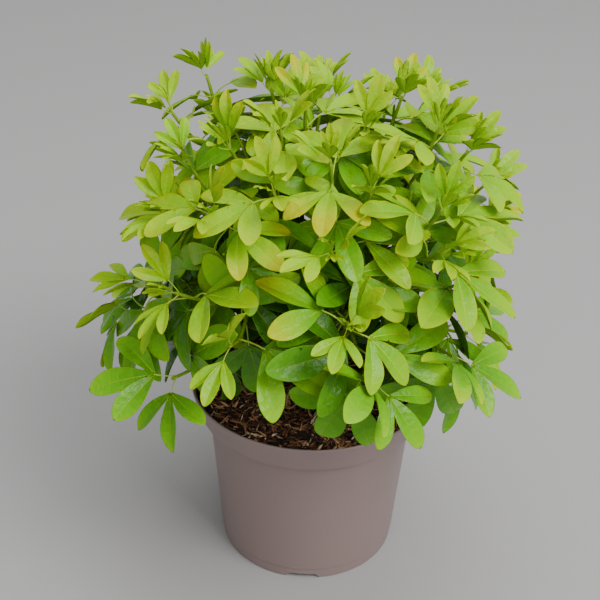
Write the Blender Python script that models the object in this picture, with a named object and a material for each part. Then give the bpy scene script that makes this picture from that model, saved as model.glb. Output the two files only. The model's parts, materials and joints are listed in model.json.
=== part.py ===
"""Potted Mexican orange blossom: a golden evergreen shrub with leaves in threes, in its plain nursery pot.

Lengths are in metres. The pot stands on z = 0 with its axis on the Z axis, and the front of the plant
faces -Y. A bearing is a turn from the front towards +X and a rise from the level, both in degrees.
"""

import math
import random

import bmesh
import bpy
from mathutils import Matrix, Vector
from mathutils.bvhtree import BVHTree
from mathutils.geometry import intersect_line_line

CLEARANCE = 0.0003
SHARP_ANGLE = 35
Z_AXIS = Vector((0, 0, 1))

# Pot: a turned shell with a rolled rim band, standing on a notched foot ring
POT_HEIGHT = 0.178
FOOT_RADIUS = 0.0865
WALL_TOP_RADIUS = 0.0987
BAND_RADIUS = 0.1078
RIM_RADIUS = 0.115
BAND_HEIGHT = 0.028
WALL = 0.0018
BAND_WALL = 0.0022
STEP_ROUND = 0.0012
LEDGE_SLOPE = 0.002
FOOT_WIDTH = 0.0043
BASE_UNDERSIDE = 0.006
RIM_ROUND = 0.0008
POT_SIDES = 40
NOTCH_COUNT = 4
NOTCH_TURN = -2.8
NOTCH_WIDTH_FOOT = 0.036
NOTCH_WIDTH_TOP = 0.0255
NOTCH_HEIGHT = 0.0055
DRAIN_COUNT = 8
DRAIN_RADIUS = 0.005
DRAIN_CIRCLE = 0.058
DRAIN_SIDES = 8

# Soil: fills the pot nearly to the rim, with a level patch where the stem comes out
SOIL_EDGE_HEIGHT = 0.1690
SOIL_HEIGHT = 0.1725
SOIL_LEVEL_RADIUS = 0.040
SOIL_CLEARANCE = 0.0005
SOIL_STEP = 0.003

# Trunk: a short flared stem from the soil to its fork
TRUNK_HEIGHT = 0.040
TRUNK_LEAN = Vector((0.003, -0.004, 0))
TRUNK_SIDES = 10
TRUNK_BEND = 1.5
TRUNK_RINGS = (  # share of the height, radius
    (0.00, 0.0130),
    (0.09, 0.0103),
    (0.25, 0.0086),
    (0.55, 0.0078),
    (0.85, 0.0084),
    (0.96, 0.0064),
    (1.00, 0.0030),
)

# Crown: the tips of the shoots stand on a rounded dome about the heart of the plant
HEART = Vector((0, 0, 0.295))
CROWN_WIDE = 0.165
CROWN_ABOVE = 0.163
CROWN_BELOW = 0.125
CROWN_POWER = 3.0
CROWN_REACH = 0.208
CROWN_TOP = 0.506
CROWN_FOOT = 0.186
CROWN_PITCH = 0.30
LEAF_REACH = 1.30
POT_MARGIN = 0.010
SEED = 610

# Where the dome's reach is larger or smaller: turn, rise, change of the reach, and width in degrees
SWELLS = (
    (-90, 20, -0.22, 25),
    (-130, 25, -0.12, 25),
    (80, 0, -0.26, 26),
    (145, 65, -0.14, 20),
    (-80, -10, 0.10, 20),
    (-110, 50, 0.16, 18),
    (90, 55, 0.18, 16),
    (-150, 70, 0.06, 20),
    (60, -20, 0.22, 16),
    (115, 8, 0.12, 18),
)

# Shoots seen from the front: the rise of a row, and the turn of each shoot in it
FRONT_SHOOTS = (
    (84, (-40,)),
    (76, (-105,)),
    (67, (-27, 33, 95)),
    (56, (-118, -46, 5, 64, 113)),
    (47, (-102, -60, -16, 19, 67)),
    (38, (-35, 43)),
    (33, (-56, 4)),
    (28, (-84, 40, 72)),
    (14, (-44, 9, 58)),
    (4, (-72, -24)),
    (-6, (18, 46)),
    (-10, (-80,)),
    (-16, (-47, 76)),
)
LATTICE_COUNT = 80
LATTICE_START = 20
LATTICE_TOP = 80
LATTICE_FOOT = -20
GOLDEN_ANGLE = 137.508
SHOOT_SPACING = 18.5

# Limbs: boughs from the fork, side boughs from those, and the twigs of the masses
MASS_COUNT = 22
BOUGH_COUNT = 7
HUB_SHARE = 0.52
BOUGH_SIDES = 5
BOUGH_STEPS = 5
BOUGH_BASE = 0.0034
BOUGH_TIP = 0.0021
SIDE_BOUGH_BASE = 0.0027
SIDE_BOUGH_SPAN = (0.80, 0.20)
SIDE_BOUGH_INSET = 0.4
SADDLE_CLEARANCE = 0.0004
FORK_SPREAD = 0.0048
FORK_HIDDEN = 0.006
BOUGH_UP = 0.1
BOUGH_OUT = 0.7
SIDE_BOUGH_ALONG = 0.3
HUB_OUT = 0.7
HUB_UP = 0.2
STEM_LENGTH = 0.009
STEM_RADIUS = 0.0023
STEM_TIP = 0.0021
STEM_OVERLAP = 0.0008
TWIG_RADIUS = 0.0020
SHOOT_RADIUS = 0.0014
TWIG_STEPS = 3
TWIG_SIDES = 4
SHOOT_OUT = 0.6
SHOOT_UP = 0.75
LOW_SHOOT_UP = 0.55
LIMB_SPACING = 0.0008
LIMB_TRIES = 80
BEND_STEP = 0.02
BEND_PULL = 0.38
LEAFY_SHARE = 0.85
CLUSTER_ROUNDS = 12
UPRIGHT = 0.05

# Leaf: three leaflets on a stalk
LEAFLET = 0.060
LEAFLET_HALF_WIDTH = 0.21
LEAFLET_WIDEST = 0.60
LEAFLET_RIDGE = 0.5
LEAFLET_JOIN = 0.09
LEAFLET_THICK = 0.0014
LEAFLET_FOLD = 0.0014
LEAFLET_BOW = 0.007
HEEL_ANGLE = 120
HEEL = 0.03
RIM_POINTS = 13
STALK = 0.026
STALK_RADIUS = 0.0009
STALK_ROOT = 0.0005
STALK_CLEAR = 0.15
SIDE_LEAFLET = 0.87
SIDE_ANGLE = 52
BLADE_ALONG = 0.6
BLADE_UP = 0.7
LEAF_SPACING = 0.0008
CELL_SLACK = 6.0
LEAF_TRIES = 10
LEAF_SIZES = (0.92, 1.04)

# How far a leaf may turn, open and tilt from its pair's angles to fit, and shrink at each try
FIRST_SPREAD = 0.1
NEXT_SPREAD = 0.05
TURN_SPREAD = 0.8
OPENING_SPREAD = 0.7
TRY_SHRINK = 0.02

# Pairs of leaves down a shoot: distance from its tip, opening from its line, size, and droop of the blade
PAIRS = (
    (0.003, 38, 0.68, 8),
    (0.020, 66, 1.06, 26),
    (0.044, 84, 1.12, 38),
)
MOST_LEAVES = 194

# Change of a leaf's size and droop from the heart's level up to the top of the crown, and down as far
SIZE_RISE = -0.20
DROOP_RISE = -14


def material(name, colour, roughness):
    made = bpy.data.materials.new(name)
    made.use_nodes = True
    shader = made.node_tree.nodes["Principled BSDF"]
    shader.inputs["Base Color"].default_value = (*colour, 1)
    shader.inputs["Roughness"].default_value = roughness
    shader.inputs["Metallic"].default_value = 0
    return made


def object_from(name, points, faces, finish=None):
    mesh = bpy.data.meshes.new(name)
    mesh.from_pydata([tuple(point) for point in points], [], faces)
    mesh.validate()
    shaped = bmesh.new()
    shaped.from_mesh(mesh)
    bmesh.ops.recalc_face_normals(shaped, faces=shaped.faces)
    shaped.to_mesh(mesh)
    shaped.free()
    made = bpy.data.objects.new(name, mesh)
    bpy.context.scene.collection.objects.link(made)
    if finish:
        mesh.materials.append(finish)
    return made


def apply_modifiers(shape):
    """Keeps the shape that the modifiers give, and drops the modifiers."""
    graph = bpy.context.evaluated_depsgraph_get()
    mesh = bpy.data.meshes.new_from_object(shape.evaluated_get(graph))
    shape.modifiers.clear()
    shape.data = mesh


def cut(shape, cutter):
    """Takes the cutter's space out of the shape, and removes the cutter."""
    boolean = shape.modifiers.new("cut", "BOOLEAN")
    boolean.operation = "DIFFERENCE"
    boolean.solver = "MANIFOLD"
    boolean.object = cutter
    bpy.context.view_layer.update()
    apply_modifiers(shape)
    bpy.data.objects.remove(cutter)


def keep_largest(mesh):
    """Drops the scraps that a cut leaves beside the main body."""
    shaped = bmesh.new()
    shaped.from_mesh(mesh)
    bodies, waiting = [], set(shaped.verts)
    while waiting:
        body, edge = set(), {waiting.pop()}
        while edge:
            body |= edge
            edge = {link.other_vert(vert) for vert in edge for link in vert.link_edges} - body
        waiting -= body
        bodies.append(body)
    bodies.sort(key=len)
    bmesh.ops.delete(shaped, geom=[vert for body in bodies[:-1] for vert in body], context="VERTS")
    shaped.to_mesh(mesh)
    shaped.free()


def smooth(shape):
    shape.data.shade_smooth()
    shape.data.set_sharp_from_angle(angle=math.radians(SHARP_ANGLE))


# Turned and swept shapes


def turned(name, profile, sides, finish=None):
    """A closed solid turned about the Z axis from a profile of (radius, height) points, pole to pole."""
    points, rings = [], []
    for radius, height in profile:
        count = sides if radius > 0 else 1
        rings.append(range(len(points), len(points) + count))
        for k in range(count):
            turn = math.tau * k / sides
            points.append((radius * math.cos(turn), radius * math.sin(turn), height))
    faces = []
    for low, high in zip(rings, rings[1:]):
        for k in range(sides):
            after = (k + 1) % sides
            corners = [ring[k % len(ring)] for ring, k in ((low, k), (low, after), (high, after), (high, k))]
            faces.append(list(dict.fromkeys(corners)))
    return object_from(name, points, faces, finish)


def ring_frames(path, roll):
    """At each point of a path, the way along it and a direction across it that turns little."""
    across = (path[1] - path[0]).orthogonal().normalized()
    across.rotate(Matrix.Rotation(roll, 3, path[1] - path[0]))
    frames = []
    for k in range(len(path)):
        along = (path[min(k + 1, len(path) - 1)] - path[max(k - 1, 0)]).normalized()
        across = (across - along * across.dot(along)).normalized()
        frames.append((along, across))
    return frames


def swept(path, radii, sides, roll=0):
    """Points and faces of a closed tapering limb along a path."""
    points, faces = [], []
    for centre, radius, (along, across) in zip(path, radii, ring_frames(path, roll)):
        beside = along.cross(across)
        for s in range(sides):
            turn = math.tau * s / sides
            points.append(centre + (across * math.cos(turn) + beside * math.sin(turn)) * radius)
    for k in range(len(path) - 1):
        for s in range(sides):
            after = (s + 1) % sides
            low, high = k * sides, (k + 1) * sides
            faces.append((low + s, low + after, high + after, high + s))
    faces.append(tuple(reversed(range(sides))))
    faces.append(tuple(range(len(points) - sides, len(points))))
    return points, faces


def bent_path(start, way_out, end, way_in, steps):
    """A smooth path that leaves start along way_out and comes to end along way_in."""
    pull = (end - start).length * BEND_PULL
    handles = (start, start + way_out * pull, end - way_in * pull, end)
    path = []
    for k in range(steps + 1):
        t = k / steps
        weights = ((1 - t) ** 3, 3 * t * (1 - t) ** 2, 3 * t * t * (1 - t), t**3)
        path.append(sum((handle * weight for handle, weight in zip(handles, weights)), Vector()))
    return path


def back_along(path, radii, roll, back):
    """The limb at a distance back from its tip: middle, way, radius and the way to its first edge."""
    back = min(back, sum((b - a).length for a, b in zip(path, path[1:])) * LEAFY_SHARE)
    k = len(path) - 1
    while (path[k] - path[k - 1]).length < back:
        back -= (path[k] - path[k - 1]).length
        k -= 1
    share = back / (path[k] - path[k - 1]).length
    frames = ring_frames(path, roll)
    across = frames[k][1].lerp(frames[k - 1][1], share).normalized()
    radius = radii[k] + (radii[k - 1] - radii[k]) * share
    return path[k].lerp(path[k - 1], share), (path[k] - path[k - 1]).normalized(), radius, across


def taper(base, tip, count):
    return [base + (tip - base) * k / (count - 1) for k in range(count)]


# Pot and soil


def pot_inside(height):
    """The radius of the pot's inner face at a height."""
    ledge = POT_HEIGHT - BAND_HEIGHT
    if height > ledge:
        share = (height - ledge) / BAND_HEIGHT
        return BAND_RADIUS - BAND_WALL + (RIM_RADIUS - BAND_RADIUS) * share
    share = height / ledge
    return FOOT_RADIUS - WALL + (WALL_TOP_RADIUS - FOOT_RADIUS) * share


def build_pot(finish):
    ledge = POT_HEIGHT - BAND_HEIGHT
    floor = BASE_UNDERSIDE + WALL
    profile = (
        (0, BASE_UNDERSIDE),
        (FOOT_RADIUS - FOOT_WIDTH, BASE_UNDERSIDE),
        (FOOT_RADIUS - FOOT_WIDTH, 0),
        (FOOT_RADIUS, 0),
        (WALL_TOP_RADIUS, ledge - LEDGE_SLOPE),
        (BAND_RADIUS - STEP_ROUND, ledge),
        (BAND_RADIUS, ledge + STEP_ROUND),
        (RIM_RADIUS, POT_HEIGHT - RIM_ROUND),
        (RIM_RADIUS - RIM_ROUND, POT_HEIGHT),
        (pot_inside(POT_HEIGHT) + RIM_ROUND, POT_HEIGHT),
        (pot_inside(POT_HEIGHT), POT_HEIGHT - RIM_ROUND),
        (pot_inside(ledge + LEDGE_SLOPE), ledge + LEDGE_SLOPE),
        (pot_inside(ledge), ledge),
        (pot_inside(floor), floor),
        (0, floor),
    )
    pot = turned("pot", profile, POT_SIDES, finish)
    for k in range(NOTCH_COUNT):
        cut(pot, notch_cutter(NOTCH_TURN + 360 / NOTCH_COUNT * k))
    for k in range(DRAIN_COUNT):
        cut(pot, drain_cutter(360 / DRAIN_COUNT * (k + 0.5)))
    smooth(pot)


def notch_cutter(turn):
    """A wedge that opens the foot ring where water runs out."""
    out = bearing(turn, 0)
    beside = Z_AXIS.cross(out)
    points = []
    for reach in (FOOT_RADIUS - FOOT_WIDTH * 3, FOOT_RADIUS + FOOT_WIDTH):
        for half, height in ((NOTCH_WIDTH_FOOT / 2, -CLEARANCE), (NOTCH_WIDTH_TOP / 2, NOTCH_HEIGHT)):
            points.append(out * reach - beside * half + Z_AXIS * height)
            points.append(out * reach + beside * half + Z_AXIS * height)
    faces = ((0, 1, 3, 2), (4, 6, 7, 5), (0, 4, 5, 1), (2, 3, 7, 6), (0, 2, 6, 4), (1, 5, 7, 3))
    return object_from("notch_cutter", points, faces)


def drain_cutter(turn):
    centre = bearing(turn, 0) * DRAIN_CIRCLE
    ends = [centre, centre + Z_AXIS * (BASE_UNDERSIDE + WALL * 3)]
    return object_from("drain_cutter", *swept(ends, (DRAIN_RADIUS, DRAIN_RADIUS), DRAIN_SIDES))


def build_soil(finish):
    ledge = POT_HEIGHT - BAND_HEIGHT
    floor = BASE_UNDERSIDE + WALL + CLEARANCE
    profile = (
        (0, floor),
        (pot_inside(floor) - SOIL_CLEARANCE, floor),
        (pot_inside(ledge) - SOIL_CLEARANCE, ledge + SOIL_CLEARANCE),
        (pot_inside(ledge + SOIL_STEP) - SOIL_CLEARANCE, ledge + SOIL_STEP),
        (pot_inside(SOIL_EDGE_HEIGHT) - SOIL_CLEARANCE, SOIL_EDGE_HEIGHT),
        (SOIL_LEVEL_RADIUS, SOIL_HEIGHT),
        (0, SOIL_HEIGHT),
    )
    smooth(turned("soil", profile, POT_SIDES, finish))


# Trunk, boughs and the layout of the crown


def bearing(turn, rise):
    turn, rise = math.radians(turn), math.radians(rise)
    return Vector((math.sin(turn) * math.cos(rise), -math.cos(turn) * math.cos(rise), math.sin(rise)))


def crown_point(way, share=1.0):
    """The point of the crown's dome in a direction from the heart."""
    height = CROWN_ABOVE if way.z > 0 else CROWN_BELOW
    flat = math.hypot(way.x, way.y) / CROWN_WIDE
    reach = (flat**CROWN_POWER + (abs(way.z) / height) ** CROWN_POWER) ** (-1 / CROWN_POWER)
    for turn, rise, change, width in SWELLS:
        reach *= 1 + change * math.exp(-((way.angle(bearing(turn, rise)) / math.radians(width)) ** 2))
    return HEART + way * reach * share


def shoot_tips():
    """The shoots seen from the front, then an even lattice wherever those leave room."""
    ways = [bearing(turn, rise) for rise, turns in FRONT_SHOOTS for turn in turns]
    top, foot = math.sin(math.radians(LATTICE_TOP)), math.sin(math.radians(LATTICE_FOOT))
    for k in range(LATTICE_COUNT):
        rise = math.degrees(math.asin(top + (foot - top) * k / (LATTICE_COUNT - 1)))
        way = bearing(GOLDEN_ANGLE * k + LATTICE_START, rise)
        if all(way.angle(other) > math.radians(SHOOT_SPACING) for other in ways):
            ways.append(way)
    return [crown_point(way) for way in ways]


def clustered(points, count):
    """Groups points into a count of compact groups, as lists of indices."""
    centres = [points[0]]
    while len(centres) < count:
        centres.append(max(points, key=lambda point: min((point - centre).length for centre in centres)))
    for _ in range(CLUSTER_ROUNDS):
        groups = [[] for _ in centres]
        for k, point in enumerate(points):
            groups[min(range(count), key=lambda c: (point - centres[c]).length)].append(k)
        groups = [group for group in groups if group]
        centres = [sum((points[k] for k in group), Vector()) / len(group) for group in groups]
        count = len(groups)
    return sorted(groups, key=lambda group: math.atan2(points[group[0]].x, -points[group[0]].y))


def build_trunk(finish):
    base = Vector((0, 0, SOIL_HEIGHT + CLEARANCE))
    flare = TRUNK_RINGS[1][0]
    path = [
        base + Z_AXIS * TRUNK_HEIGHT * share + TRUNK_LEAN * max(0, share - flare) ** TRUNK_BEND
        for share, _ in TRUNK_RINGS
    ]
    trunk = object_from("trunk", *swept(path, [radius for _, radius in TRUNK_RINGS], TRUNK_SIDES), finish)
    smooth(trunk)
    return path


def segments_of(path, radii):
    return [(a, b, max(ra, rb)) for a, b, ra, rb in zip(path, path[1:], radii, radii[1:])]


def segment_gap(first, second):
    """The clear distance between two straight capsules."""
    a, b, ra = first
    c, d, rb = second
    nearest = min(
        point_gap(a, c, d), point_gap(b, c, d), point_gap(c, a, b), point_gap(d, a, b)
    )
    crossing = intersect_line_line(a, b, c, d)
    if crossing:
        on_first, on_second = crossing
        if between(on_first, a, b) and between(on_second, c, d):
            nearest = min(nearest, (on_first - on_second).length)
    return nearest - ra - rb


def between(point, a, b):
    return 0 <= (point - a).dot(b - a) <= (b - a).length_squared


def point_gap(point, a, b):
    share = max(0, min(1, (point - a).dot(b - a) / (b - a).length_squared))
    return (point - a - (b - a) * share).length


def outside_of(segments, hidden):
    """The stretches of a limb without the first length of it, which is hidden in another."""
    (start, end, radius), *rest = segments
    return [(start + (end - start).normalized() * hidden, end, radius), *rest]


def clear_of(segments, others, spacing=LIMB_SPACING):
    return all(segment_gap(mine, other) > spacing for mine in segments for other in others)


def fit_path(start, way_out, end, way_in, radii, others, parent, seed, hidden=0):
    """A path between two limbs that passes clear of the others, bent a little further on each try.

    Its first stretch springs from the parent, so only the rest has to be clear of that.
    """
    luck = random.Random(SEED + seed)
    for attempt in range(LIMB_TRIES):
        spread = BEND_STEP * attempt
        out = (way_out + random_way(luck) * spread).normalized()
        inward = (way_in + random_way(luck) * spread).normalized()
        path = bent_path(start, out, end, inward, len(radii) - 1)
        segments = segments_of(path, radii)
        if clear_of(outside_of(segments, hidden), others) and clear_of(segments[1:], parent):
            return path, segments
    return path, segments


def random_way(luck):
    return Vector([luck.uniform(-1, 1) for _ in range(3)])


def plan_limbs(hubs, fork):
    """Boughs from the fork to the hubs: one main bough for each group, and side boughs from it."""
    limbs, taken = [], []
    groups = clustered(hubs, BOUGH_COUNT)
    middles = [sum((hubs[k] for k in group), Vector()) / len(group) for group in groups]
    order = sorted(range(len(groups)), key=lambda g: (middles[g] - fork[3]).normalized().z)
    groups = [groups[g] for g in order]
    middles = [middles[g] for g in order]
    for g, (group, middle) in enumerate(zip(groups, middles)):
        leader = min(group, key=lambda k: (hubs[k] - middle).length)
        start = fork[3].lerp(fork[5], g / (len(groups) - 1))
        beside = hubs[leader] - start
        beside.z = 0
        beside /= max(beside.length, UPRIGHT)
        start += beside * FORK_SPREAD
        radii = taper(BOUGH_BASE, BOUGH_TIP, BOUGH_STEPS + 1)
        away = Z_AXIS * BOUGH_UP + beside * BOUGH_OUT
        path, way = plan_limb(start, hubs[leader], away, radii, taken, [], 100 + g)
        limbs.append((leader, None, path, way, radii))
        taken += outside_of(segments_of(path, radii), FORK_HIDDEN)
    each = len(taken) // len(groups)
    for g, group in enumerate(groups):
        leader, _, path, _, radii = limbs[g]
        parent = segments_of(path, radii)
        rest = taken[: g * each] + taken[(g + 1) * each :]
        others = sorted((k for k in group if k != leader), key=lambda k: (hubs[k] - path[0]).length)
        for s, k in enumerate(others):
            first, last = SIDE_BOUGH_SPAN
            back = (path[0] - path[-1]).length * (first + (last - first) * s / max(1, len(others) - 1))
            root, away, radius, _ = back_along(path, radii, 0, back)
            beside = (hubs[k] - root).normalized()
            beside = (beside - away * beside.dot(away)).normalized()
            root += beside * radius * SIDE_BOUGH_INSET
            away = away * SIDE_BOUGH_ALONG + beside * BOUGH_OUT
            side_radii = taper(SIDE_BOUGH_BASE, BOUGH_TIP, BOUGH_STEPS + 1)
            side, way = plan_limb(root, hubs[k], away, side_radii, rest, parent, 200 + 10 * g + s)
            limbs.append((k, leader, side, way, side_radii))
            rest += segments_of(side, side_radii)
            taken += segments_of(side, side_radii)
    return limbs, taken + [(fork[0], fork[-1], TRUNK_RINGS[0][1])]


def plan_limb(start, hub, away, radii, others, parent, seed):
    """The path of one bough to just short of its mass's stem, and the direction it ends in."""
    straight = (hub - start).normalized()
    inward = ((hub - HEART).normalized() * HUB_OUT + straight + Z_AXIS * HUB_UP).normalized()
    end = hub - inward * (STEM_LENGTH + CLEARANCE)
    hidden = 0 if parent else FORK_HIDDEN
    out = (away + straight).normalized()
    path, _ = fit_path(start, out, end, inward, radii, others, parent, seed, hidden)
    return path, (path[-1] - path[-2]).normalized()


# Leaves


def blade_shape(thick, extra=0):
    """Points and faces of three leaflets that lie along +Y from the end of their stalk, upper side up.

    It is open between its first and last rim points, where the stalk joins it.
    """
    lobes = ((-SIDE_ANGLE, SIDE_LEAFLET), (0, 1.0), (SIDE_ANGLE, SIDE_LEAFLET))
    half = thick / 2
    rim, ridges = [leaf_point(-HEEL_ANGLE, HEEL, 0)], []
    for angle, share in lobes:
        length = LEAFLET * share
        along = leaf_point(angle, 1, 0).normalized()
        beside = Vector((along.y, -along.x, 0))
        for forth, wide in ((LEAFLET_WIDEST, 1), (1, 0), (LEAFLET_WIDEST, -1)):
            offset = beside * (length * LEAFLET_HALF_WIDTH + extra) * wide
            rim.append(along * (length * forth) + offset + Z_AXIS * (LEAFLET_FOLD * abs(wide) + bow(forth)))
        if angle < SIDE_ANGLE:
            rim.append(leaf_point(angle + SIDE_ANGLE / 2, LEAFLET_JOIN, 0))
        ridges.append(along * (length * LEAFLET_RIDGE) + Z_AXIS * bow(LEAFLET_RIDGE))
    rim.append(leaf_point(HEEL_ANGLE, HEEL, 0))
    points = list(rim)
    faces = []
    for side in (1, -1):
        hub = len(points)
        points.append(Z_AXIS * (half * side))
        first = 0
        for ridge in ridges:
            top = len(points)
            points.append(ridge + Z_AXIS * (half * side))
            ring = [hub, *range(first, first + 5)]
            for a, b in zip(ring, ring[1:] + ring[:1]):
                faces.append((top, a, b) if side > 0 else (top, b, a))
            first += 4
    return points, faces


def leaf_point(angle, forth, height):
    """A point of the leaf at an angle from its line, to the left, and a share of a leaflet's length."""
    turn = math.radians(angle)
    return Vector((-math.sin(turn) * LEAFLET * forth, math.cos(turn) * LEAFLET * forth, height))


def bow(forth):
    """How far a leaflet curves down towards its tip."""
    return -LEAFLET_BOW * forth**2


def leaf_frame(root, along, up):
    """The place of a shape that lies along +Y with its upper side up."""
    beside = along.cross(up).normalized()
    up = beside.cross(along)
    return Matrix.Translation(root) @ Matrix((beside, along, up)).transposed().to_4x4()


def leaf_solid(root_middle, end, matrix):
    """Points and faces of a whole leaf: its blade, carried on to the root of the stalk in the twig."""
    points, faces = blade_shape(LEAFLET_THICK)
    points = [matrix @ point for point in points]
    last, hub, foot = RIM_POINTS - 1, RIM_POINTS, RIM_POINTS + 4
    beside = (end - root_middle).cross(matrix.to_3x3() @ Z_AXIS).normalized()
    up = beside.cross(end - root_middle).normalized()
    root = len(points)
    for turn in (270, 30, 150):
        around = beside * math.cos(math.radians(turn)) + up * math.sin(math.radians(turn))
        points.append(root_middle + around * STALK_ROOT)
    ring = (foot, 0, last)
    faces.append((hub, last, 0))
    for k in range(3):
        after = (k + 1) % 3
        faces.append((ring[k], ring[after], root + after, root + k))
    faces.append((root, root + 1, root + 2))
    return points, faces


def leaf_pose(place, azimuth, opening, size, droop):
    """The root and end of the stalk, and the blade's matrix, for a leaf that opens over a twig's edge."""
    middle, way, radius, across = place
    side = Matrix.Rotation(azimuth, 3, way) @ across
    along = way * math.cos(opening) + side * math.sin(opening)
    nearest = round(azimuth / math.tau * TWIG_SIDES) * math.tau / TWIG_SIDES
    edge = Matrix.Rotation(nearest, 3, way) @ across
    root = middle + edge * radius - along * (radius / math.cos(azimuth - nearest) / math.sin(opening))
    end = root + along * (STALK * size)
    up = (way * BLADE_ALONG + Z_AXIS * BLADE_UP).normalized()
    beside = along.cross(up).normalized()
    tilted = Matrix.Rotation(-droop, 3, beside) @ along
    return root, end, leaf_frame(end, tilted, beside.cross(tilted)) @ Matrix.Scale(size, 4)


def in_crown(points):
    """Whether a leaf stays within the crown's reach, and clear of the pot and the soil."""
    for point in points:
        if max(abs(point.x), abs(point.y)) > CROWN_REACH or not CROWN_FOOT < point.z < CROWN_TOP:
            return False
        if point.z + CROWN_PITCH * point.y > CROWN_TOP:
            return False
        if (point - HEART).length > (crown_point((point - HEART).normalized(), LEAF_REACH) - HEART).length:
            return False
        if math.hypot(point.x, point.y) < RIM_RADIUS + POT_MARGIN and point.z < POT_HEIGHT + POT_MARGIN * 2:
            return False
    return True


def in_cell(points, own, axes):
    """Whether a leaf keeps to its own mass's share of the crown."""
    middle = sum(points, Vector()) / len(points) - HEART
    mine = middle.angle(axes[own]) - math.radians(CELL_SLACK)
    return all(mine < middle.angle(axis) for axis in axes)


def box_of(points):
    return [min(p[k] for p in points) for k in range(3)], [max(p[k] for p in points) for k in range(3)]


class Space:
    """What already stands in the crown."""

    def __init__(self):
        self.taken = []

    def add(self, points, faces):
        self.taken.append((*box_of(points), BVHTree.FromPolygons(points, faces)))

    def free(self, points, faces, spare=()):
        low, high = box_of(points)
        tree = None
        for k, (other_low, other_high, other) in enumerate(self.taken):
            if k in spare or any(low[a] > other_high[a] or high[a] < other_low[a] for a in range(3)):
                continue
            tree = tree or BVHTree.FromPolygons(points, faces)
            if tree.overlap(other):
                return False
        return True


def build_crown(finish, wood):
    tips = shoot_tips()
    groups = clustered(tips, MASS_COUNT)
    centres = [sum((tips[k] for k in group), Vector()) / len(group) for group in groups]
    axes = [(centre - HEART).normalized() for centre in centres]
    hubs = [HEART + (centre - HEART) * HUB_SHARE for centre in centres]
    fork = build_trunk(wood)
    limbs, taken = plan_limbs(hubs, fork)
    space = Space()
    build_boughs(limbs, fork, wood, space)

    plans = []
    for leader, _, path, way, _ in limbs:
        stem_start = path[-1] + way * CLEARANCE
        hub = stem_start + way * STEM_LENGTH
        stem_radii = (STEM_RADIUS, STEM_TIP)
        pieces = [swept([stem_start, hub], stem_radii, 3)]
        stems = segments_of([stem_start, hub], stem_radii)
        shoots = []
        for k in groups[leader]:
            out = (tips[k] - HEART).normalized()
            lift = SHOOT_UP if out.z > 0 else LOW_SHOOT_UP
            heading = (out * SHOOT_OUT + Z_AXIS * lift).normalized()
            radii = taper(TWIG_RADIUS, SHOOT_RADIUS, TWIG_STEPS + 1)
            start = hub - way * STEM_OVERLAP
            path_k, segments = fit_path(start, way, tips[k], heading, radii, taken, [], 300 + k)
            roll = random.Random(SEED + k).uniform(0, math.pi)
            pieces.append(swept(path_k, radii, TWIG_SIDES, roll))
            stems += segments
            shoots.append((k, path_k, radii, roll))
        taken = taken + stems
        plans.append((leader, pieces, shoots))

    twig_at = {}
    for leader, pieces, _ in plans:
        twig_at[leader] = range(len(space.taken), len(space.taken) + len(pieces))
        for points, faces in pieces:
            space.add(points, faces)

    leaf_pieces = {leader: [] for leader, _, _ in plans}
    for row, pair in enumerate(PAIRS):
        for leader, _, shoots in plans:
            for k, path, radii, roll in shoots:
                luck = random.Random(SEED + 1000 * row + k)
                place = back_along(path, radii, roll, pair[0])
                grown = grown_pair(pair, path[-1])
                for turn in (row * math.pi / 2, row * math.pi / 2 + math.pi):
                    if sum(map(len, leaf_pieces.values())) == MOST_LEAVES:
                        continue
                    leaf = fit_leaf(luck, place, turn, grown, leader, axes, space, twig_at[leader])
                    if leaf:
                        leaf_pieces[leader].append(leaf)
    for number, (leader, pieces, _) in enumerate(sorted(plans), 1):
        fuse_mass(f"foliage_{number:02}", pieces, leaf_pieces[leader], finish)


def grown_pair(pair, tip):
    """A pair of leaves as it grows on a shoot: larger and more drooping low on the plant."""
    distance, opening, size, droop = pair
    rise = (tip.z - HEART.z) / CROWN_ABOVE
    return distance, opening, size * (1 + SIZE_RISE * rise), droop + DROOP_RISE * rise


def fit_leaf(luck, place, azimuth, pair, own, axes, space, twigs):
    """A leaf that fits where it is asked for or near it, or nothing."""
    _, opening, size, droop = pair
    room_points, room_faces = blade_shape(LEAFLET_THICK + LEAF_SPACING * 2, LEAF_SPACING)
    for attempt in range(LEAF_TRIES):
        spread = FIRST_SPREAD + NEXT_SPREAD * attempt
        root, end, matrix = leaf_pose(
            place,
            azimuth + luck.uniform(-spread, spread) * TURN_SPREAD,
            math.radians(opening) + luck.uniform(-spread, spread) * OPENING_SPREAD,
            size * luck.uniform(*LEAF_SIZES) * (1 - TRY_SHRINK * attempt),
            math.radians(droop) + luck.uniform(-spread, spread),
        )
        room = [matrix @ point for point in room_points]
        if not in_crown(room) or not in_cell(room, own, axes) or not space.free(room, room_faces):
            continue
        stalk = swept([root.lerp(end, STALK_CLEAR), end], (STALK_RADIUS * 2, STALK_RADIUS * 2), 3)
        if not space.free(*stalk, twigs):
            continue
        space.add(*leaf_solid(root, end, matrix))
        return root, end, matrix
    return None


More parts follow.
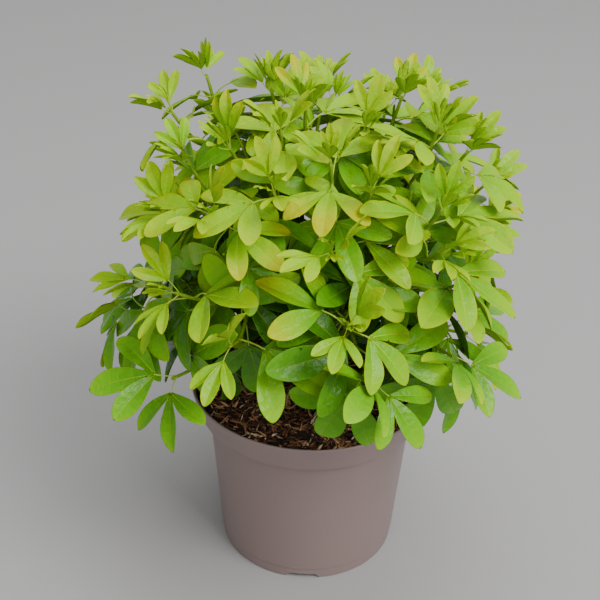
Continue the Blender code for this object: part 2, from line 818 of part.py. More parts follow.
def build_boughs(limbs, fork, finish, space):
    """Each bough is cut clear of the limb it springs from."""
    trunk_radii = [radius + CLEARANCE for _, radius in TRUNK_RINGS]
    paths = {leader: (path, radii) for leader, _, path, _, radii in limbs}
    trunk = bpy.data.objects["trunk"].data
    space.add([v.co.copy() for v in trunk.vertices], [tuple(p.vertices) for p in trunk.polygons])
    for number, (leader, parent, path, _, radii) in enumerate(limbs, 1):
        points, faces = swept(path, radii, BOUGH_SIDES)
        bough = object_from(f"bough_{number:02}", points, faces, finish)
        if parent is None:
            cutter = object_from("saddle_cutter", *swept(fork, trunk_radii, TRUNK_SIDES))
        else:
            parent_path, parent_radii = paths[parent]
            wider = [radius + SADDLE_CLEARANCE for radius in parent_radii]
            cutter = object_from("saddle_cutter", *swept(parent_path, wider, BOUGH_SIDES))
        cut(bough, cutter)
        keep_largest(bough.data)
        smooth(bough)
        space.add(points, faces)


def fuse_mass(name, limbs, leaves, finish):
    """One node from the stem, twigs and leaves of a mass."""
    united(name, limbs + [leaf_solid(*leaf) for leaf in leaves], finish)


def united(name, pieces, finish):
    """The union of closed pieces, as one object."""
    first = object_from(name, *pieces[0], finish)
    others = bpy.data.collections.new(name + "_pieces")
    bpy.context.scene.collection.children.link(others)
    for points, faces in pieces[1:]:
        piece = object_from("piece", points, faces)
        bpy.context.scene.collection.objects.unlink(piece)
        others.objects.link(piece)
    union = first.modifiers.new("union", "BOOLEAN")
    union.operation = "UNION"
    union.operand_type = "COLLECTION"
    union.collection = others
    union.solver = "MANIFOLD"
    bpy.context.view_layer.update()
    apply_modifiers(first)
    for piece in list(others.objects):
        bpy.data.objects.remove(piece)
    bpy.data.collections.remove(others)
    return first


def main():
    for old in list(bpy.data.objects):
        bpy.data.objects.remove(old)
    build_pot(material("taupe plastic", (0.27, 0.21, 0.20), 0.45))
    build_soil(material("bark mulch", (0.09, 0.045, 0.025), 0.95))
    wood = material("green bark", (0.22, 0.26, 0.10), 0.65)
    build_crown(material("golden leaf", (0.36, 0.56, 0.04), 0.4), wood)


main()
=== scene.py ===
"""Potted Mexican orange blossom: the looks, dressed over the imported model.

Lengths are in metres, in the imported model's own frame. The boughs, twigs and leaves are grown by the rule
of the part's source, and then carried on to finer twigs, younger leaves and buds.
"""

import json
import math
import random

import bmesh
import bpy
import numpy as np
from mathutils import Matrix, Vector, noise
from mathutils.bvhtree import BVHTree
from mathutils.geometry import intersect_line_line

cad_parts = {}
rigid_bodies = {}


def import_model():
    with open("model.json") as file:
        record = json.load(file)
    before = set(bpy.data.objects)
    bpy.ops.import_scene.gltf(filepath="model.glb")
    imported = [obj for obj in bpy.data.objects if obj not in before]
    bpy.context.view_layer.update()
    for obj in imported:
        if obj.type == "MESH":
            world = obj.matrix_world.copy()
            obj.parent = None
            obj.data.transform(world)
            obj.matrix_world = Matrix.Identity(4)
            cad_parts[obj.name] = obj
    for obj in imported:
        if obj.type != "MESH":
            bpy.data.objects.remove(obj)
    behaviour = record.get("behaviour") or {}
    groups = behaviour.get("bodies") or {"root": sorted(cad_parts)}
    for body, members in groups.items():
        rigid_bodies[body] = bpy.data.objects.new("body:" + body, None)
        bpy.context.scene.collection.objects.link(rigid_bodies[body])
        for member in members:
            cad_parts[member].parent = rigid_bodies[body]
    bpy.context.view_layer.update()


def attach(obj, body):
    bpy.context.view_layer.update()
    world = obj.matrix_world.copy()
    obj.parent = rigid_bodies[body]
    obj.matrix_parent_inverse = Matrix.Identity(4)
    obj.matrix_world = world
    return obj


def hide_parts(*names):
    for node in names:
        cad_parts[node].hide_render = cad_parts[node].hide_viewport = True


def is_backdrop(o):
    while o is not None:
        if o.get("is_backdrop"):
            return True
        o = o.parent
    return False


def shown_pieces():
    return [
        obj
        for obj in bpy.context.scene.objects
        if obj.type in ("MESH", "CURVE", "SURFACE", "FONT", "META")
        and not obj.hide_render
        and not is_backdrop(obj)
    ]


Z_AXIS = Vector((0, 0, 1))
CLEARANCE = 0.0003

# Pot and soil, with the part's sizes
POT_HEIGHT = 0.178
FOOT_RADIUS = 0.0865
WALL_TOP_RADIUS = 0.0987
BAND_RADIUS = 0.1078
RIM_RADIUS = 0.115
BAND_HEIGHT = 0.028
WALL = 0.0018
BAND_WALL = 0.0022
FOOT_WIDTH = 0.0043
BASE_UNDERSIDE = 0.006
NOTCH_COUNT = 4
NOTCH_TURN = -2.8
NOTCH_WIDTH_FOOT = 0.036
NOTCH_WIDTH_TOP = 0.0255
NOTCH_HEIGHT = 0.0055
DRAIN_COUNT = 8
DRAIN_RADIUS = 0.005
DRAIN_CIRCLE = 0.058
SOIL_EDGE_HEIGHT = 0.1690
SOIL_HEIGHT = 0.1725
SOIL_LEVEL_RADIUS = 0.040

# Trunk
TRUNK_HEIGHT = 0.040
TRUNK_LEAN = Vector((0.003, -0.004, 0))
TRUNK_BEND = 1.5
TRUNK_SIDES = 10
TRUNK_RINGS = (  # share of the height, radius
    (0.00, 0.0130),
    (0.09, 0.0103),
    (0.25, 0.0086),
    (0.55, 0.0078),
    (0.85, 0.0084),
    (0.96, 0.0064),
    (1.00, 0.0030),
)

# Crown
HEART = Vector((0, 0, 0.295))
CROWN_WIDE = 0.165
CROWN_ABOVE = 0.163
CROWN_BELOW = 0.125
CROWN_POWER = 3.0
CROWN_REACH = 0.208
CROWN_TOP = 0.506
CROWN_FOOT = 0.186
CROWN_PITCH = 0.30
LEAF_REACH = 1.30
POT_MARGIN = 0.010
SEED = 610

# Where the dome's reach is larger or smaller: turn, rise, change of the reach, and width in degrees
SWELLS = (
    (-90, 20, -0.22, 25),
    (-130, 25, -0.12, 25),
    (80, 0, -0.26, 26),
    (145, 65, -0.14, 20),
    (-80, -10, 0.10, 20),
    (-110, 50, 0.16, 18),
    (90, 55, 0.18, 16),
    (-150, 70, 0.06, 20),
    (60, -20, 0.22, 16),
    (115, 8, 0.12, 18),
)
FRONT_SHOOTS = (
    (84, (-40,)),
    (76, (-105,)),
    (67, (-27, 33, 95)),
    (56, (-118, -46, 5, 64, 113)),
    (47, (-102, -60, -16, 19, 67)),
    (38, (-35, 43)),
    (33, (-56, 4)),
    (28, (-84, 40, 72)),
    (14, (-44, 9, 58)),
    (4, (-72, -24)),
    (-6, (18, 46)),
    (-10, (-80,)),
    (-16, (-47, 76)),
)
LATTICE_COUNT = 80
LATTICE_START = 20
LATTICE_TOP = 80
LATTICE_FOOT = -20
GOLDEN_ANGLE = 137.508
SHOOT_SPACING = 18.5

# Limbs
MASS_COUNT = 22
BOUGH_COUNT = 7
HUB_SHARE = 0.52
BOUGH_SIDES = 5
BOUGH_STEPS = 5
BOUGH_BASE = 0.0034
BOUGH_TIP = 0.0021
SIDE_BOUGH_BASE = 0.0027
SIDE_BOUGH_SPAN = (0.80, 0.20)
SIDE_BOUGH_INSET = 0.4
FORK_SPREAD = 0.0048
FORK_HIDDEN = 0.006
BOUGH_UP = 0.1
BOUGH_OUT = 0.7
SIDE_BOUGH_ALONG = 0.3
HUB_OUT = 0.7
HUB_UP = 0.2
STEM_LENGTH = 0.009
STEM_RADIUS = 0.0023
STEM_TIP = 0.0021
STEM_OVERLAP = 0.0008
TWIG_RADIUS = 0.0020
SHOOT_RADIUS = 0.0014
TWIG_STEPS = 3
TWIG_SIDES = 4
SHOOT_OUT = 0.6
SHOOT_UP = 0.75
LOW_SHOOT_UP = 0.55
LIMB_SPACING = 0.0008
LIMB_TRIES = 80
BEND_STEP = 0.02
BEND_PULL = 0.38
LEAFY_SHARE = 0.85
CLUSTER_ROUNDS = 12
UPRIGHT = 0.05

# Leaf
LEAFLET = 0.060
LEAFLET_HALF_WIDTH = 0.21
LEAFLET_WIDEST = 0.60
LEAFLET_RIDGE = 0.5
LEAFLET_JOIN = 0.09
LEAFLET_THICK = 0.0014
LEAFLET_FOLD = 0.0014
LEAFLET_BOW = 0.007
HEEL_ANGLE = 120
HEEL = 0.03
RIM_POINTS = 13
STALK = 0.026
STALK_RADIUS = 0.0009
STALK_ROOT = 0.0005
STALK_CLEAR = 0.15
SIDE_LEAFLET = 0.87
SIDE_ANGLE = 52
BLADE_ALONG = 0.6
BLADE_UP = 0.7
LEAF_SPACING = 0.0008
CELL_SLACK = 6.0
LEAF_TRIES = 10
LEAF_SIZES = (0.92, 1.04)
FIRST_SPREAD = 0.1
NEXT_SPREAD = 0.05
TURN_SPREAD = 0.8
OPENING_SPREAD = 0.7
TRY_SHRINK = 0.02
LEAST_SINE = 0.3
PAIRS = (  # distance from the tip, opening, size, droop
    (0.003, 38, 0.68, 8),
    (0.020, 66, 1.06, 26),
    (0.044, 84, 1.12, 38),
)
MOST_LEAVES = 194
SIZE_RISE = -0.20
DROOP_RISE = -14


def clear_scene():
    for old in list(bpy.data.objects):
        bpy.data.objects.remove(old)


# The part's rule, written again


def ring_frames(path, roll):
    """At each point of a path, the way along it and a direction across it that turns little."""
    across = (path[1] - path[0]).orthogonal().normalized()
    across.rotate(Matrix.Rotation(roll, 3, path[1] - path[0]))
    frames = []
    for k in range(len(path)):
        along = (path[min(k + 1, len(path) - 1)] - path[max(k - 1, 0)]).normalized()
        across = (across - along * across.dot(along)).normalized()
        frames.append((along, across))
    return frames


def swept(path, radii, sides, roll=0):
    """Points and faces of a closed tapering limb along a path."""
    points, faces = [], []
    for centre, radius, (along, across) in zip(path, radii, ring_frames(path, roll)):
        beside = along.cross(across)
        for s in range(sides):
            turn = math.tau * s / sides
            points.append(centre + (across * math.cos(turn) + beside * math.sin(turn)) * radius)
    for k in range(len(path) - 1):
        for s in range(sides):
            after = (s + 1) % sides
            low, high = k * sides, (k + 1) * sides
            faces.append((low + s, low + after, high + after, high + s))
    faces.append(tuple(reversed(range(sides))))
    faces.append(tuple(range(len(points) - sides, len(points))))
    return points, faces


def bent_path(start, way_out, end, way_in, steps):
    """A smooth path that leaves start along way_out and comes to end along way_in."""
    pull = (end - start).length * BEND_PULL
    handles = (start, start + way_out * pull, end - way_in * pull, end)
    path = []
    for k in range(steps + 1):
        t = k / steps
        weights = ((1 - t) ** 3, 3 * t * (1 - t) ** 2, 3 * t * t * (1 - t), t**3)
        path.append(sum((handle * weight for handle, weight in zip(handles, weights)), Vector()))
    return path


def back_along(path, radii, roll, back):
    """The limb at a distance back from its tip: middle, way, radius and the way to its first edge."""
    back = min(back, sum((b - a).length for a, b in zip(path, path[1:])) * LEAFY_SHARE)
    k = len(path) - 1
    while (path[k] - path[k - 1]).length < back:
        back -= (path[k] - path[k - 1]).length
        k -= 1
    share = back / (path[k] - path[k - 1]).length
    frames = ring_frames(path, roll)
    across = frames[k][1].lerp(frames[k - 1][1], share).normalized()
    radius = radii[k] + (radii[k - 1] - radii[k]) * share
    return path[k].lerp(path[k - 1], share), (path[k] - path[k - 1]).normalized(), radius, across


def taper(base, tip, count):
    return [base + (tip - base) * k / (count - 1) for k in range(count)]


def bearing(turn, rise):
    turn, rise = math.radians(turn), math.radians(rise)
    return Vector((math.sin(turn) * math.cos(rise), -math.cos(turn) * math.cos(rise), math.sin(rise)))


def crown_point(way, share=1.0):
    """The point of the crown's dome in a direction from the heart."""
    height = CROWN_ABOVE if way.z > 0 else CROWN_BELOW
    flat = math.hypot(way.x, way.y) / CROWN_WIDE
    reach = (flat**CROWN_POWER + (abs(way.z) / height) ** CROWN_POWER) ** (-1 / CROWN_POWER)
    for turn, rise, change, width in SWELLS:
        reach *= 1 + change * math.exp(-((way.angle(bearing(turn, rise)) / math.radians(width)) ** 2))
    return HEART + way * reach * share


def shoot_tips():
    """The shoots seen from the front, then an even lattice wherever those leave room."""
    ways = [bearing(turn, rise) for rise, turns in FRONT_SHOOTS for turn in turns]
    top, foot = math.sin(math.radians(LATTICE_TOP)), math.sin(math.radians(LATTICE_FOOT))
    for k in range(LATTICE_COUNT):
        rise = math.degrees(math.asin(top + (foot - top) * k / (LATTICE_COUNT - 1)))
        way = bearing(GOLDEN_ANGLE * k + LATTICE_START, rise)
        if all(way.angle(other) > math.radians(SHOOT_SPACING) for other in ways):
            ways.append(way)
    return [crown_point(way) for way in ways]


def clustered(points, count):
    """Groups points into a count of compact groups, as lists of indices."""
    centres = [points[0]]
    while len(centres) < count:
        centres.append(max(points, key=lambda point: min((point - centre).length for centre in centres)))
    for _ in range(CLUSTER_ROUNDS):
        groups = [[] for _ in centres]
        for k, point in enumerate(points):
            groups[min(range(count), key=lambda c: (point - centres[c]).length)].append(k)
        groups = [group for group in groups if group]
        centres = [sum((points[k] for k in group), Vector()) / len(group) for group in groups]
        count = len(groups)
    return sorted(groups, key=lambda group: math.atan2(points[group[0]].x, -points[group[0]].y))


def trunk_path():
    base = Vector((0, 0, SOIL_HEIGHT + CLEARANCE))
    flare = TRUNK_RINGS[1][0]
    return [
        base + Z_AXIS * TRUNK_HEIGHT * share + TRUNK_LEAN * max(0, share - flare) ** TRUNK_BEND
        for share, _ in TRUNK_RINGS
    ]


def segments_of(path, radii):
    return [(a, b, max(ra, rb)) for a, b, ra, rb in zip(path, path[1:], radii, radii[1:])]


def segment_gap(first, second):
    """The clear distance between two straight capsules."""
    a, b, ra = first
    c, d, rb = second
    nearest = min(
        point_gap(a, c, d), point_gap(b, c, d), point_gap(c, a, b), point_gap(d, a, b)
    )
    crossing = intersect_line_line(a, b, c, d)
    if crossing:
        on_first, on_second = crossing
        if between(on_first, a, b) and between(on_second, c, d):
            nearest = min(nearest, (on_first - on_second).length)
    return nearest - ra - rb


def between(point, a, b):
    return 0 <= (point - a).dot(b - a) <= (b - a).length_squared


def point_gap(point, a, b):
    share = max(0, min(1, (point - a).dot(b - a) / (b - a).length_squared))
    return (point - a - (b - a) * share).length


def outside_of(segments, hidden):
    """The stretches of a limb without the first length of it, which is hidden in another."""
    (start, end, radius), *rest = segments
    return [(start + (end - start).normalized() * hidden, end, radius), *rest]


def clear_of(segments, others, spacing=LIMB_SPACING):
    return all(segment_gap(mine, other) > spacing for mine in segments for other in others)


def fit_path(start, way_out, end, way_in, radii, others, parent, seed, hidden=0):
    """A path between two limbs that passes clear of the others, bent a little further on each try.

    Its first stretch springs from the parent, so only the rest has to be clear of that.
    """
    luck = random.Random(SEED + seed)
    for attempt in range(LIMB_TRIES):
        spread = BEND_STEP * attempt
        out = (way_out + random_way(luck) * spread).normalized()
        inward = (way_in + random_way(luck) * spread).normalized()
        path = bent_path(start, out, end, inward, len(radii) - 1)
        segments = segments_of(path, radii)
        if clear_of(outside_of(segments, hidden), others) and clear_of(segments[1:], parent):
            return path, segments
    return path, segments


def random_way(luck):
    return Vector([luck.uniform(-1, 1) for _ in range(3)])


def plan_limbs(hubs, fork):
    """Boughs from the fork to the hubs: one main bough for each group, and side boughs from it."""
    limbs, taken = [], []
    groups = clustered(hubs, BOUGH_COUNT)
    middles = [sum((hubs[k] for k in group), Vector()) / len(group) for group in groups]
    order = sorted(range(len(groups)), key=lambda g: (middles[g] - fork[3]).normalized().z)
    groups = [groups[g] for g in order]
    middles = [middles[g] for g in order]
    for g, (group, middle) in enumerate(zip(groups, middles)):
        leader = min(group, key=lambda k: (hubs[k] - middle).length)
        start = fork[3].lerp(fork[5], g / (len(groups) - 1))
        beside = hubs[leader] - start
        beside.z = 0
        beside /= max(beside.length, UPRIGHT)
        start += beside * FORK_SPREAD
        radii = taper(BOUGH_BASE, BOUGH_TIP, BOUGH_STEPS + 1)
        away = Z_AXIS * BOUGH_UP + beside * BOUGH_OUT
        path, way = plan_limb(start, hubs[leader], away, radii, taken, [], 100 + g)
        limbs.append((leader, None, path, way, radii))
        taken += outside_of(segments_of(path, radii), FORK_HIDDEN)
    each = len(taken) // len(groups)
    for g, group in enumerate(groups):
        leader, _, path, _, radii = limbs[g]
        parent = segments_of(path, radii)
        rest = taken[: g * each] + taken[(g + 1) * each :]
        others = sorted((k for k in group if k != leader), key=lambda k: (hubs[k] - path[0]).length)
        for s, k in enumerate(others):
            first, last = SIDE_BOUGH_SPAN
            back = (path[0] - path[-1]).length * (first + (last - first) * s / max(1, len(others) - 1))
            root, away, radius, _ = back_along(path, radii, 0, back)
            beside = (hubs[k] - root).normalized()
            beside = (beside - away * beside.dot(away)).normalized()
            root += beside * radius * SIDE_BOUGH_INSET
            away = away * SIDE_BOUGH_ALONG + beside * BOUGH_OUT
            side_radii = taper(SIDE_BOUGH_BASE, BOUGH_TIP, BOUGH_STEPS + 1)
            side, way = plan_limb(root, hubs[k], away, side_radii, rest, parent, 200 + 10 * g + s)
            limbs.append((k, leader, side, way, side_radii))
            rest += segments_of(side, side_radii)
            taken += segments_of(side, side_radii)
    return limbs, taken + [(fork[0], fork[-1], TRUNK_RINGS[0][1])]


def plan_limb(start, hub, away, radii, others, parent, seed):
    """The path of one bough to just short of its mass's stem, and the direction it ends in."""
    straight = (hub - start).normalized()
    inward = ((hub - HEART).normalized() * HUB_OUT + straight + Z_AXIS * HUB_UP).normalized()
    end = hub - inward * (STEM_LENGTH + CLEARANCE)
    hidden = 0 if parent else FORK_HIDDEN
    out = (away + straight).normalized()
    path, _ = fit_path(start, out, end, inward, radii, others, parent, seed, hidden)
    return path, (path[-1] - path[-2]).normalized()


def blade_shape(thick, extra=0):
    """Points and faces of three leaflets that lie along +Y from the end of their stalk, upper side up.

    It is open between its first and last rim points, where the stalk joins it.
    """
    lobes = ((-SIDE_ANGLE, SIDE_LEAFLET), (0, 1.0), (SIDE_ANGLE, SIDE_LEAFLET))
    half = thick / 2
    rim, ridges = [leaf_point(-HEEL_ANGLE, HEEL, 0)], []
    for angle, share in lobes:
        length = LEAFLET * share
        along = leaf_point(angle, 1, 0).normalized()
        beside = Vector((along.y, -along.x, 0))
        for forth, wide in ((LEAFLET_WIDEST, 1), (1, 0), (LEAFLET_WIDEST, -1)):
            offset = beside * (length * LEAFLET_HALF_WIDTH + extra) * wide
            rim.append(along * (length * forth) + offset + Z_AXIS * (LEAFLET_FOLD * abs(wide) + bow(forth)))
        if angle < SIDE_ANGLE:
            rim.append(leaf_point(angle + SIDE_ANGLE / 2, LEAFLET_JOIN, 0))
        ridges.append(along * (length * LEAFLET_RIDGE) + Z_AXIS * bow(LEAFLET_RIDGE))
    rim.append(leaf_point(HEEL_ANGLE, HEEL, 0))
    points = list(rim)
    faces = []
    for side in (1, -1):
        hub = len(points)
        points.append(Z_AXIS * (half * side))
        first = 0
        for ridge in ridges:
            top = len(points)
            points.append(ridge + Z_AXIS * (half * side))
            ring = [hub, *range(first, first + 5)]
            for a, b in zip(ring, ring[1:] + ring[:1]):
                faces.append((top, a, b) if side > 0 else (top, b, a))
            first += 4
    return points, faces


def leaf_point(angle, forth, height):
    """A point of the leaf at an angle from its line, to the left, and a share of a leaflet's length."""
    turn = math.radians(angle)
    return Vector((-math.sin(turn) * LEAFLET * forth, math.cos(turn) * LEAFLET * forth, height))


def bow(forth):
    """How far a leaflet curves down towards its tip."""
    return -LEAFLET_BOW * forth**2


def leaf_frame(root, along, up):
    """The place of a shape that lies along +Y with its upper side up."""
    beside = along.cross(up).normalized()
    up = beside.cross(along)
    return Matrix.Translation(root) @ Matrix((beside, along, up)).transposed().to_4x4()


def leaf_solid(root_middle, end, matrix):
    """Points and faces of a whole leaf: its blade, carried on to the root of the stalk in the twig."""
    points, faces = blade_shape(LEAFLET_THICK)
    points = [matrix @ point for point in points]
    last, hub, foot = RIM_POINTS - 1, RIM_POINTS, RIM_POINTS + 4
    beside = (end - root_middle).cross(matrix.to_3x3() @ Z_AXIS).normalized()
    up = beside.cross(end - root_middle).normalized()
    root = len(points)
    for turn in (270, 30, 150):
        around = beside * math.cos(math.radians(turn)) + up * math.sin(math.radians(turn))
        points.append(root_middle + around * STALK_ROOT)
    ring = (foot, 0, last)
    faces.append((hub, last, 0))
    for k in range(3):
        after = (k + 1) % 3
        faces.append((ring[k], ring[after], root + after, root + k))
    faces.append((root, root + 1, root + 2))
    return points, faces


def leaf_pose(place, azimuth, opening, size, droop):
    """The root and end of the stalk, and the blade's matrix, for a leaf that opens over a twig's edge."""
    middle, way, radius, across = place
    side = Matrix.Rotation(azimuth, 3, way) @ across
    along = way * math.cos(opening) + side * math.sin(opening)
    nearest = round(azimuth / math.tau * TWIG_SIDES) * math.tau / TWIG_SIDES
    edge = Matrix.Rotation(nearest, 3, way) @ across
    sunk = radius / math.cos(azimuth - nearest) / max(math.sin(opening), LEAST_SINE)
    root = middle + edge * radius - along * sunk
    end = root + along * (STALK * size)
    up = (way * BLADE_ALONG + Z_AXIS * BLADE_UP).normalized()
    beside = along.cross(up).normalized()
    tilted = Matrix.Rotation(-droop, 3, beside) @ along
    return root, end, leaf_frame(end, tilted, beside.cross(tilted)) @ Matrix.Scale(size, 4)


def in_crown(points):
    """Whether a leaf stays within the crown's reach, and clear of the pot and the soil."""
    for point in points:
        if max(abs(point.x), abs(point.y)) > CROWN_REACH or not CROWN_FOOT < point.z < CROWN_TOP:
            return False
        if point.z + CROWN_PITCH * point.y > CROWN_TOP:
            return False
        if (point - HEART).length > (crown_point((point - HEART).normalized(), LEAF_REACH) - HEART).length:
            return False
        if math.hypot(point.x, point.y) < RIM_RADIUS + POT_MARGIN and point.z < POT_HEIGHT + POT_MARGIN * 2:
            return False
    return True


def in_cell(points, own, axes):
    """Whether a leaf keeps to its own mass's share of the crown."""
    middle = sum(points, Vector()) / len(points) - HEART
    mine = middle.angle(axes[own]) - math.radians(CELL_SLACK)
    return all(mine < middle.angle(axis) for axis in axes)


class Space:
    """What already stands in the crown."""

    def __init__(self):
        self.trees = []
        self.lows = np.empty((0, 3))
        self.highs = np.empty((0, 3))

    def add(self, points, faces):
        box = np.array(points)
        self.lows = np.vstack((self.lows, box.min(axis=0)))
        self.highs = np.vstack((self.highs, box.max(axis=0)))
        self.trees.append(BVHTree.FromPolygons(points, faces))

    def drop_last(self):
        self.lows, self.highs = self.lows[:-1], self.highs[:-1]
        self.trees.pop()

    def free(self, points, faces, spare=()):
        box = np.array(points)
        near = (self.lows <= box.max(axis=0)).all(axis=1) & (self.highs >= box.min(axis=0)).all(axis=1)
        tree = None
        for k in np.flatnonzero(near):
            if k in spare:
                continue
            tree = tree or BVHTree.FromPolygons(points, faces)
            if tree.overlap(self.trees[k]):
                return False
        return True


class Leaf:
    """One leaf of the plant: where it grows, how large it is and how old it looks."""

    def __init__(self, mass, age, root, end, matrix, size, stretch=1):
        self.mass, self.age = mass, age
        self.root, self.end, self.matrix, self.size = root, end, matrix, size
        self.stretch = stretch


def grown_pair(pair, tip):
    """A pair of leaves as it grows on a shoot: larger and more drooping low on the plant."""
    distance, opening, size, droop = pair
    rise = (tip.z - HEART.z) / CROWN_ABOVE
    return distance, opening, size * (1 + SIZE_RISE * rise), droop + DROOP_RISE * rise


def fit_leaf(luck, place, azimuth, pair, own, axes, space, twigs, tries=LEAF_TRIES):
    """A leaf that fits where it is asked for or near it, or nothing. With no axes it may go anywhere inside."""
    _, opening, size, droop = pair
    room_points, room_faces = blade_shape(LEAFLET_THICK + LEAF_SPACING * 2, LEAF_SPACING)
    for attempt in range(tries):
        spread = FIRST_SPREAD + NEXT_SPREAD * attempt
        azimuth_now = azimuth + luck.uniform(-spread, spread) * TURN_SPREAD
        opening_now = math.radians(opening) + luck.uniform(-spread, spread) * OPENING_SPREAD
        scale = size * luck.uniform(*LEAF_SIZES) * (1 - TRY_SHRINK * attempt)
        droop_now = math.radians(droop) + luck.uniform(-spread, spread)
        root, end, matrix = leaf_pose(place, azimuth_now, opening_now, scale, droop_now)
        room = [matrix @ point for point in room_points]
        if not in_crown(room) or not space.free(room, room_faces):
            continue
        if not (in_cell(room, own, axes) if axes else within_dome(room)):
            continue
        stalk = swept([root.lerp(end, STALK_CLEAR), end], (STALK_RADIUS * 2, STALK_RADIUS * 2), 3)
        if not space.free(*stalk, twigs):
            continue
        space.add(*leaf_solid(root, end, matrix))
        return root, end, matrix, scale
    return None


def grow_crown():
    """The part's boughs, twigs and leaves, then the finer growth that only the looks have."""
    tips = shoot_tips()
    groups = clustered(tips, MASS_COUNT)
    centres = [sum((tips[k] for k in group), Vector()) / len(group) for group in groups]
    axes = [(centre - HEART).normalized() for centre in centres]
    hubs = [HEART + (centre - HEART) * HUB_SHARE for centre in centres]
    fork = trunk_path()
    limbs, taken = plan_limbs(hubs, fork)
    space = Space()
    space.add(*swept(fork, [radius for _, radius in TRUNK_RINGS], TRUNK_SIDES))
    for _, _, path, _, radii in limbs:
        space.add(*swept(path, radii, BOUGH_SIDES))

    stems, plans = [], []
    for leader, _, path, way, _ in limbs:
        stem_start = path[-1] + way * CLEARANCE
        hub = stem_start + way * STEM_LENGTH
        stem_radii = (STEM_RADIUS, STEM_TIP)
        pieces = [swept([stem_start, hub], stem_radii, 3)]
        stem_segments = segments_of([stem_start, hub], stem_radii)
        stems.append(([path[-1], stem_start, hub], [BOUGH_TIP, STEM_RADIUS * 0.9, STEM_RADIUS * 0.85]))
        shoots = []
        for k in groups[leader]:
            out = (tips[k] - HEART).normalized()
            lift = SHOOT_UP if out.z > 0 else LOW_SHOOT_UP
            heading = (out * SHOOT_OUT + Z_AXIS * lift).normalized()
            radii = taper(TWIG_RADIUS, SHOOT_RADIUS, TWIG_STEPS + 1)
            start = hub - way * STEM_OVERLAP
            path_k, segments = fit_path(start, way, tips[k], heading, radii, taken, [], 300 + k)
            roll = random.Random(SEED + k).uniform(0, math.pi)
            pieces.append(swept(path_k, radii, TWIG_SIDES, roll))
            stem_segments += segments
            shoots.append((k, path_k, radii, roll))
        taken = taken + stem_segments
        plans.append((leader, pieces, shoots))

    twig_at = {}
    for leader, pieces, _ in plans:
        twig_at[leader] = range(len(space.trees), len(space.trees) + len(pieces))
        for points, faces in pieces:
            space.add(points, faces)

    leaves, left_over = [], []
    for row, pair in enumerate(PAIRS):
        for leader, _, shoots in plans:
            for k, path, radii, roll in shoots:
                luck = random.Random(SEED + 1000 * row + k)
                place = back_along(path, radii, roll, pair[0])
                grown = grown_pair(pair, path[-1])
                for turn in (row * math.pi / 2, row * math.pi / 2 + math.pi):
                    if len(leaves) == MOST_LEAVES:
                        left_over.append((k, path, radii, roll, turn, grown, row, leader))
                        continue
                    leaf = fit_leaf(luck, place, turn, grown, leader, axes, space, twig_at[leader])
                    if leaf:
                        low = path[-1].z < YOUNG_ABOVE
                        stretch = LOW_STRETCH if low and row == 0 else 1
                        leaves.append(Leaf(leader, row + 1 + low, *leaf, stretch))
    finer = grow_finer(plans, left_over, space, twig_at, leaves)
    return fork, limbs, stems, plans, finer, leaves


# Growth that only the looks have: buds, more pairs of leaves and side shoots

BUD_PAIRS = (  # distance from the tip, opening, size, droop, quarter turns
    (0.0008, 13, 0.40, 0, 1),
)
INNER_PAIRS = (  # distance from the tip, opening, size, droop, age, quarter turns
    (0.012, 54, 0.96, 18, 2, 0.5),
    (0.032, 76, 1.12, 34, 3, 1.5),
    (0.058, 88, 1.08, 42, 4, 1),
    (0.072, 90, 1.06, 46, 4, 0),
    (0.088, 90, 1.02, 50, 5, 1),
    (0.104, 90, 1.00, 50, 5, 0),
)
SIDE_SHOOTS = (  # distance from the tip, quarter turns
    (0.046, 0.5),
    (0.060, 1.5),
    (0.074, 0.5),
    (0.088, 1.5),
)
SIDE_SHOOT_LENGTH = (0.026, 0.055)
SIDE_SHOOT_RADII = (0.0013, 0.0010)
SIDE_PAIRS = (  # distance from the tip, opening, size, droop, age
    (0.0020, 42, 0.82, 10, 3),
    (0.0160, 68, 1.08, 28, 4),
    (0.0320, 84, 1.10, 38, 4),
)
BUDS_ABOVE = 0.335
YOUNG_ABOVE = 0.30
LOW_STRETCH = 1.2
INNER_REACH = 0.97
INNER_TRIES = 7


def grow_finer(plans, left_over, space, twig_at, leaves):
    """Adds leaves and side shoots wherever they fit, and gives the side shoots' paths."""
    side_shoots = []
    for k, path, radii, roll, turn, pair, row, leader in left_over:
        luck = random.Random(SEED + 7000 + k + int(turn * 10))
        place = back_along(path, radii, roll, pair[0])
        add_leaf(leaves, luck, place, turn, pair, row + 1, leader, space, twig_at[leader])
    for leader, _, shoots in plans:
        for k, *limb in shoots:
            if limb[0][-1].z > BUDS_ABOVE:
                add_buds(leaves, random.Random(SEED + 8000 + k), limb, BUD_PAIRS, 0, leader)
    for number, (distance, quarter) in enumerate(SIDE_SHOOTS):
        for leader, _, shoots in plans:
            for k, path, radii, roll in shoots:
                luck = random.Random(SEED + 10000 + 100 * number + k)
                place = back_along(path, radii, roll, distance)
                limb = fit_side_shoot(luck, place, quarter * math.pi / 2, space, twig_at[leader])
                if not limb:
                    continue
                own = (*twig_at[leader], len(space.trees))
                space.add(*swept(limb[0], limb[1], TWIG_SIDES, limb[2]))
                before = len(leaves)
                for row, (*pair, age) in enumerate(SIDE_PAIRS):
                    add_pair(leaves, luck, limb, grown_pair(pair, limb[0][-1]), row, age, leader, space, own)
                if len(leaves) == before:
                    space.drop_last()
                    continue
                side_shoots.append(limb)
    for distance, opening, size, droop, age, quarter in INNER_PAIRS:
        for leader, _, shoots in plans:
            for k, *limb in shoots:
                luck = random.Random(SEED + 11000 + k + int(distance * 1e5))
                pair = grown_pair((distance, opening, size, droop), limb[0][-1])
                add_pair(leaves, luck, limb, pair, quarter, age, leader, space, twig_at[leader])
    return side_shoots


